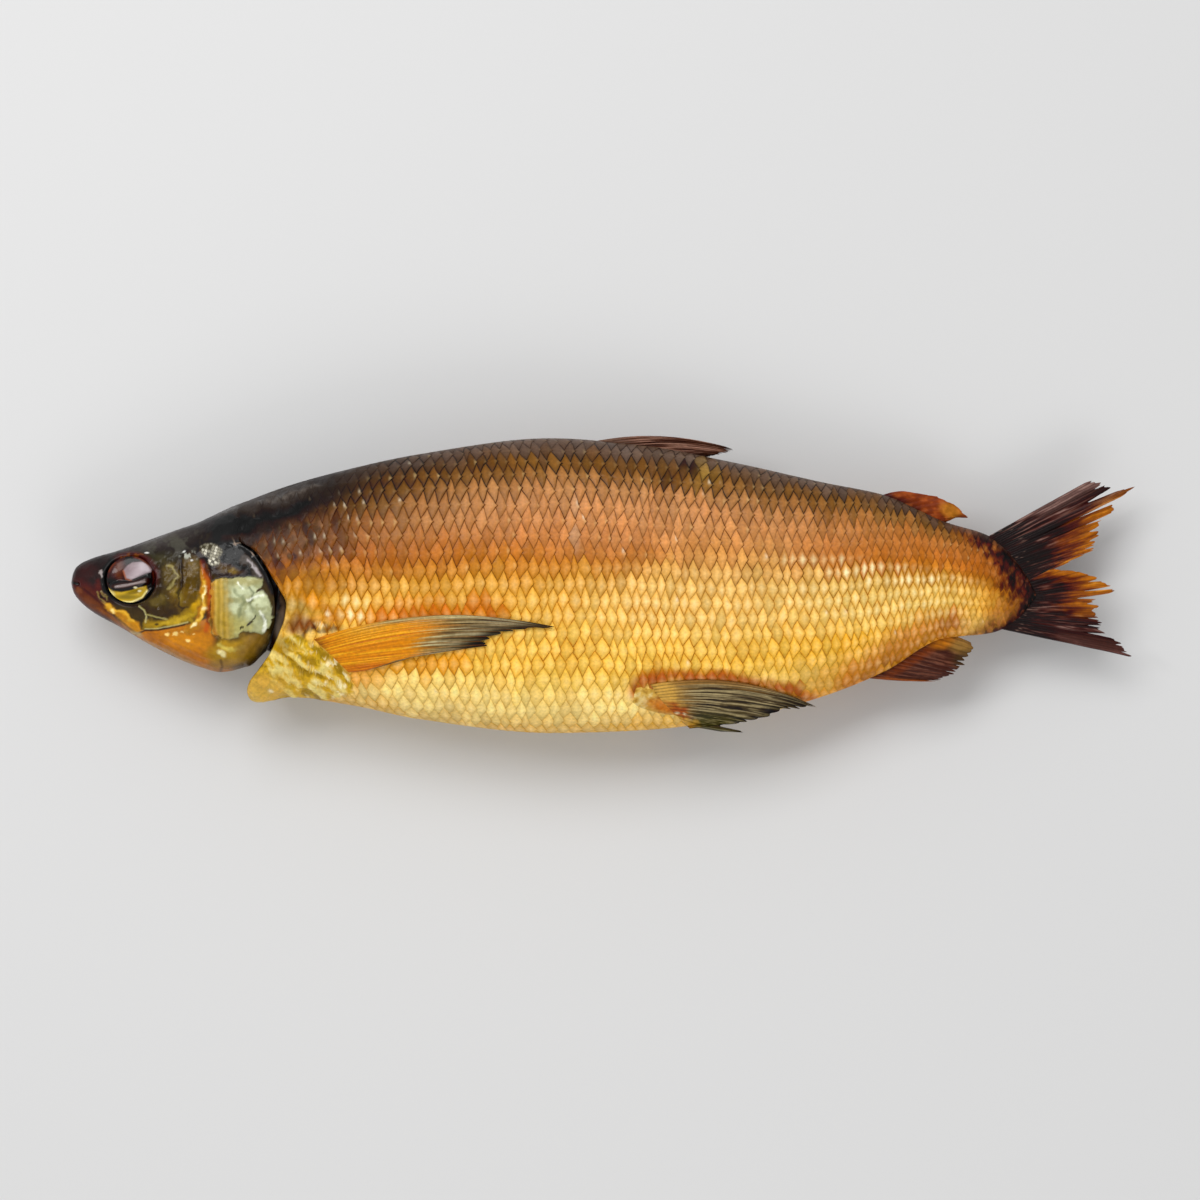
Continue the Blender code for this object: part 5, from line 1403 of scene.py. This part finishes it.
TAIL_TIPS = [(0, 1089, 480.5), (0.05, 1102, 482), (0.10, 1107, 487), (0.14, 1124, 489), (0.165, 1138, 486.0), (0.20, 1114, 503),
             (0.23, 1117, 509.5), (0.27, 1100, 522), (0.31, 1101, 534), (0.36, 1095, 543), (0.41, 1095, 549.5), (0.45, 1084, 555),
             (0.48, 1064, 565), (0.505, 1052, 568.5), (0.535, 1078, 571), (0.57, 1098, 577), (0.61, 1109, 584), (0.655, 1117, 590.5),
             (0.69, 1094, 601), (0.72, 1100, 606), (0.76, 1097, 615), (0.82, 1103, 623), (0.87, 1100, 630), (0.91, 1124, 643),
             (0.955, 1127, 650), (1.0, 1134, 657.5)]
TAIL_NOTCHES = [(0.075, 0.010, 0.06), (0.125, 0.010, 0.24), (0.195, 0.008, 0.30), (0.25, 0.010, 0.16), (0.29, 0.008, 0.08), (0.335, 0.009, 0.09),
                (0.385, 0.009, 0.10), (0.43, 0.009, 0.12), (0.46, 0.008, 0.1), (0.585, 0.006, 0.14), (0.635, 0.009, 0.24), (0.675, 0.009, 0.26),
                (0.705, 0.008, 0.10), (0.74, 0.008, 0.07), (0.79, 0.008, 0.09), (0.845, 0.008, 0.11), (0.89, 0.006, 0.20), (0.93, 0.006, 0.07), (0.975, 0.005, 0.05)]
PIECES.append(fin("tail_fin", [(0, 980, 541), (0.25, 1000, 560), (0.5, 1012, 588), (0.75, 1004, 610), (1, 996, 628)], TAIL_TIPS, 52, upright,
                  paint_tail, FIN, 201, fray=0.028, notches=TAIL_NOTCHES, thick=(3.2, 0.5), per_ray=7, steps=54, ridge=0.20))
PIECES.append(fin("back_fin", [(0, 596, 441), (1, 684, 458)], [(0, 736, 450), (0.35, 731, 451.5), (0.65, 722, 454), (1, 702, 458)], 11, upright,
                  paint_dorsal, FIN, 211, bow=[(0, 0.065), (0.5, 0.03), (1, 0.0)], fray=0.05, thick=(2.4, 0.6), ridge=0.40))
PIECES.append(fin("adipose_fin", [(0, 880, 496), (1, 942, 524)], [(0, 905, 491), (0.3, 938, 496.5), (0.55, 957, 505.5), (0.75, 969, 518), (0.88, 958, 517), (1, 944, 523)], 9, upright,
                  paint_adipose, FIN, 221, bow=[(0, 0.05), (1, 0.0)], fray=0.03, thick=(2.6, 0.7), ridge=0.12))
PIECES.append(fin("anal_fin", [(0, 852, 676), (0.5, 896, 654), (1, 940, 622)], [(0, 934, 681.5), (0.2, 944, 679), (0.42, 957, 672.5), (0.62, 967, 662), (0.8, 975.5, 650.5), (0.9, 972, 642.5), (1, 955, 638)], 15, upright,
                  paint_anal, FIN, 231, bow=[(0, -0.02), (1, 0.02)], fray=0.09, thick=(2.6, 0.5), ridge=0.28))
for side, name in ((1, "left"), (-1, "right")):
    PIECES.append(fin("breast_fin_" + name, [(0, 316, 639), (0.5, 332, 654), (1, 350, 672)],
                      [(0, 557, 627.5), (0.18, 552, 628), (0.32, 530, 628), (0.45, 505, 632), (0.55, 486, 640), (0.65, 490, 645.5), (0.78, 462, 649), (0.9, 420, 655), (1, 376, 668)],
                      16, lying(side, (0.15, 1.1), 0.0, 1.0), paint_pectoral, FIN, 241 + side, bow=[(0, 0.075), (0.5, 0.03), (1, -0.03)], fray=0.03,
                      thick=(2.0, 0.5), ridge=0.34, steps=60))
PIECES.append(fin("belly_fin_left", [(0, 650, 684), (0.5, 662, 701), (1, 682, 721)],
                  [(0, 817, 707), (0.2, 814, 707), (0.45, 787, 709), (0.62, 761, 718.5), (0.8, 737, 723.5), (1, 690, 728.5)],
                  13, lying(1, (0.5, 1.3), 6.5, 0.3), paint_pelvic, FIN, 251, bow=[(0, 0.085), (0.5, 0.03), (1, -0.02)], fray=0.05, thick=(2.0, 0.5), ridge=0.34))
PIECES.append(fin("belly_fin_right", [(0, 640, 690), (0.5, 655, 710), (1, 672, 722)],
                  [(0, 716, 712), (0.55, 718, 721), (0.68, 722, 727), (0.78, 741, 731), (0.86, 745, 733), (0.93, 722, 732), (1, 698, 728)],
                  12, lying(-1, (0.4, 0.8), 8.0, 0.35), paint_pelvic, FIN, 261, bow=[(0, 0.05), (1, -0.02)], fray=0.02, thick=(2.0, 0.5), ridge=0.30))

# ------------------------------------------------------------------ floor, light, camera
floor = bpy.data.meshes.new("floor")
floor.from_pydata([(-3, -3, 0), (3, -3, 0), (3, 3, 0), (-3, 3, 0)], [], [(0, 1, 2, 3)])
floor_obj = bpy.data.objects.new("floor", floor)
bpy.context.scene.collection.objects.link(floor_obj)
fm = bpy.data.materials.new("floor_paper")
fm.use_nodes = True
fb = fm.node_tree.nodes["Principled BSDF"]
fn = fm.node_tree.nodes.new("ShaderNodeTexNoise")
fn.inputs["Scale"].default_value = 9.0
fr_ = fm.node_tree.nodes.new("ShaderNodeMapRange")
fr_.inputs["To Min"].default_value, fr_.inputs["To Max"].default_value = 0.985, 1.015
fs = fm.node_tree.nodes.new("ShaderNodeVectorMath")
fs.operation = "SCALE"
fs.inputs[0].default_value = (0.66, 0.66, 0.66)
fm.node_tree.links.new(fn.outputs["Fac"], fr_.inputs["Value"])
fm.node_tree.links.new(fr_.outputs["Result"], fs.inputs["Scale"])
fm.node_tree.links.new(fs.outputs["Vector"], fb.inputs["Base Color"])
fb.inputs["Roughness"].default_value = 0.9
fb.inputs["Specular IOR Level"].default_value = 0.1
floor.materials.append(fm)

scene = bpy.context.scene
scene.view_settings.view_transform = "Standard"
scene.view_settings.look = "None"

world = bpy.data.worlds.new("studio")
scene.world = world
world.use_nodes = True
wt = world.node_tree
wc = wt.nodes.new("ShaderNodeTexCoord")
wx = wt.nodes.new("ShaderNodeSeparateXYZ")
wr = wt.nodes.new("ShaderNodeValToRGB")
wt.links.new(wc.outputs["Generated"], wx.inputs["Vector"])
wt.links.new(wx.outputs["Z"], wr.inputs["Fac"])
wt.links.new(wr.outputs["Color"], wt.nodes["Background"].inputs["Color"])
stops = wr.color_ramp.elements
stops[0].position, stops[0].color = 0.0, (0.40, 0.40, 0.40, 1)
stops[1].position, stops[1].color = 1.0, (0.10, 0.10, 0.10, 1)
for place_, level in ((0.30, 0.75), (0.80, 0.75), (0.93, 0.22)):
    stop = stops.new(place_)
    stop.color = (level, level, level, 1)
wt.nodes["Background"].inputs["Strength"].default_value = 1.02


def area_light(name, place, size, power, aim=(0, 0, 0.02), colour=(1, 1, 1)):
    light = bpy.data.lights.new(name, "AREA")
    light.shape = "RECTANGLE"
    light.size, light.size_y = size
    light.energy = power
    light.color = colour
    obj = bpy.data.objects.new(name, light)
    scene.collection.objects.link(obj)
    obj.location = place
    obj.rotation_euler = (Vector(aim) - Vector(place)).to_track_quat("-Z", "Y").to_euler()
    return obj


area_light("key", (-0.45, 0.95, 1.35), (1.3, 0.8), 15.0)
area_light("spark", (-0.9, 0.35, 1.0), (0.25, 0.25), 2.0)
area_light("low", (0.35, -1.1, 0.9), (0.9, 0.5), 3.2)

camera = bpy.data.cameras.new("camera")
cam = bpy.data.objects.new("camera", camera)
scene.collection.objects.link(cam)
camera.lens = 250.0
camera.sensor_width = 36.0
camera.clip_end = 20.0
cx = (189.64 + OFF_X) * 0.001
cyy = (-3.585 + OFF_Y) * 0.001
plane = 0.0215
cam.location = (cx, cyy, plane + 1200 * K * 0.001 * 250.0 / 36.0)
cam.rotation_euler = (0, 0, 0)
scene.camera = cam

bpy.context.view_layer.update()
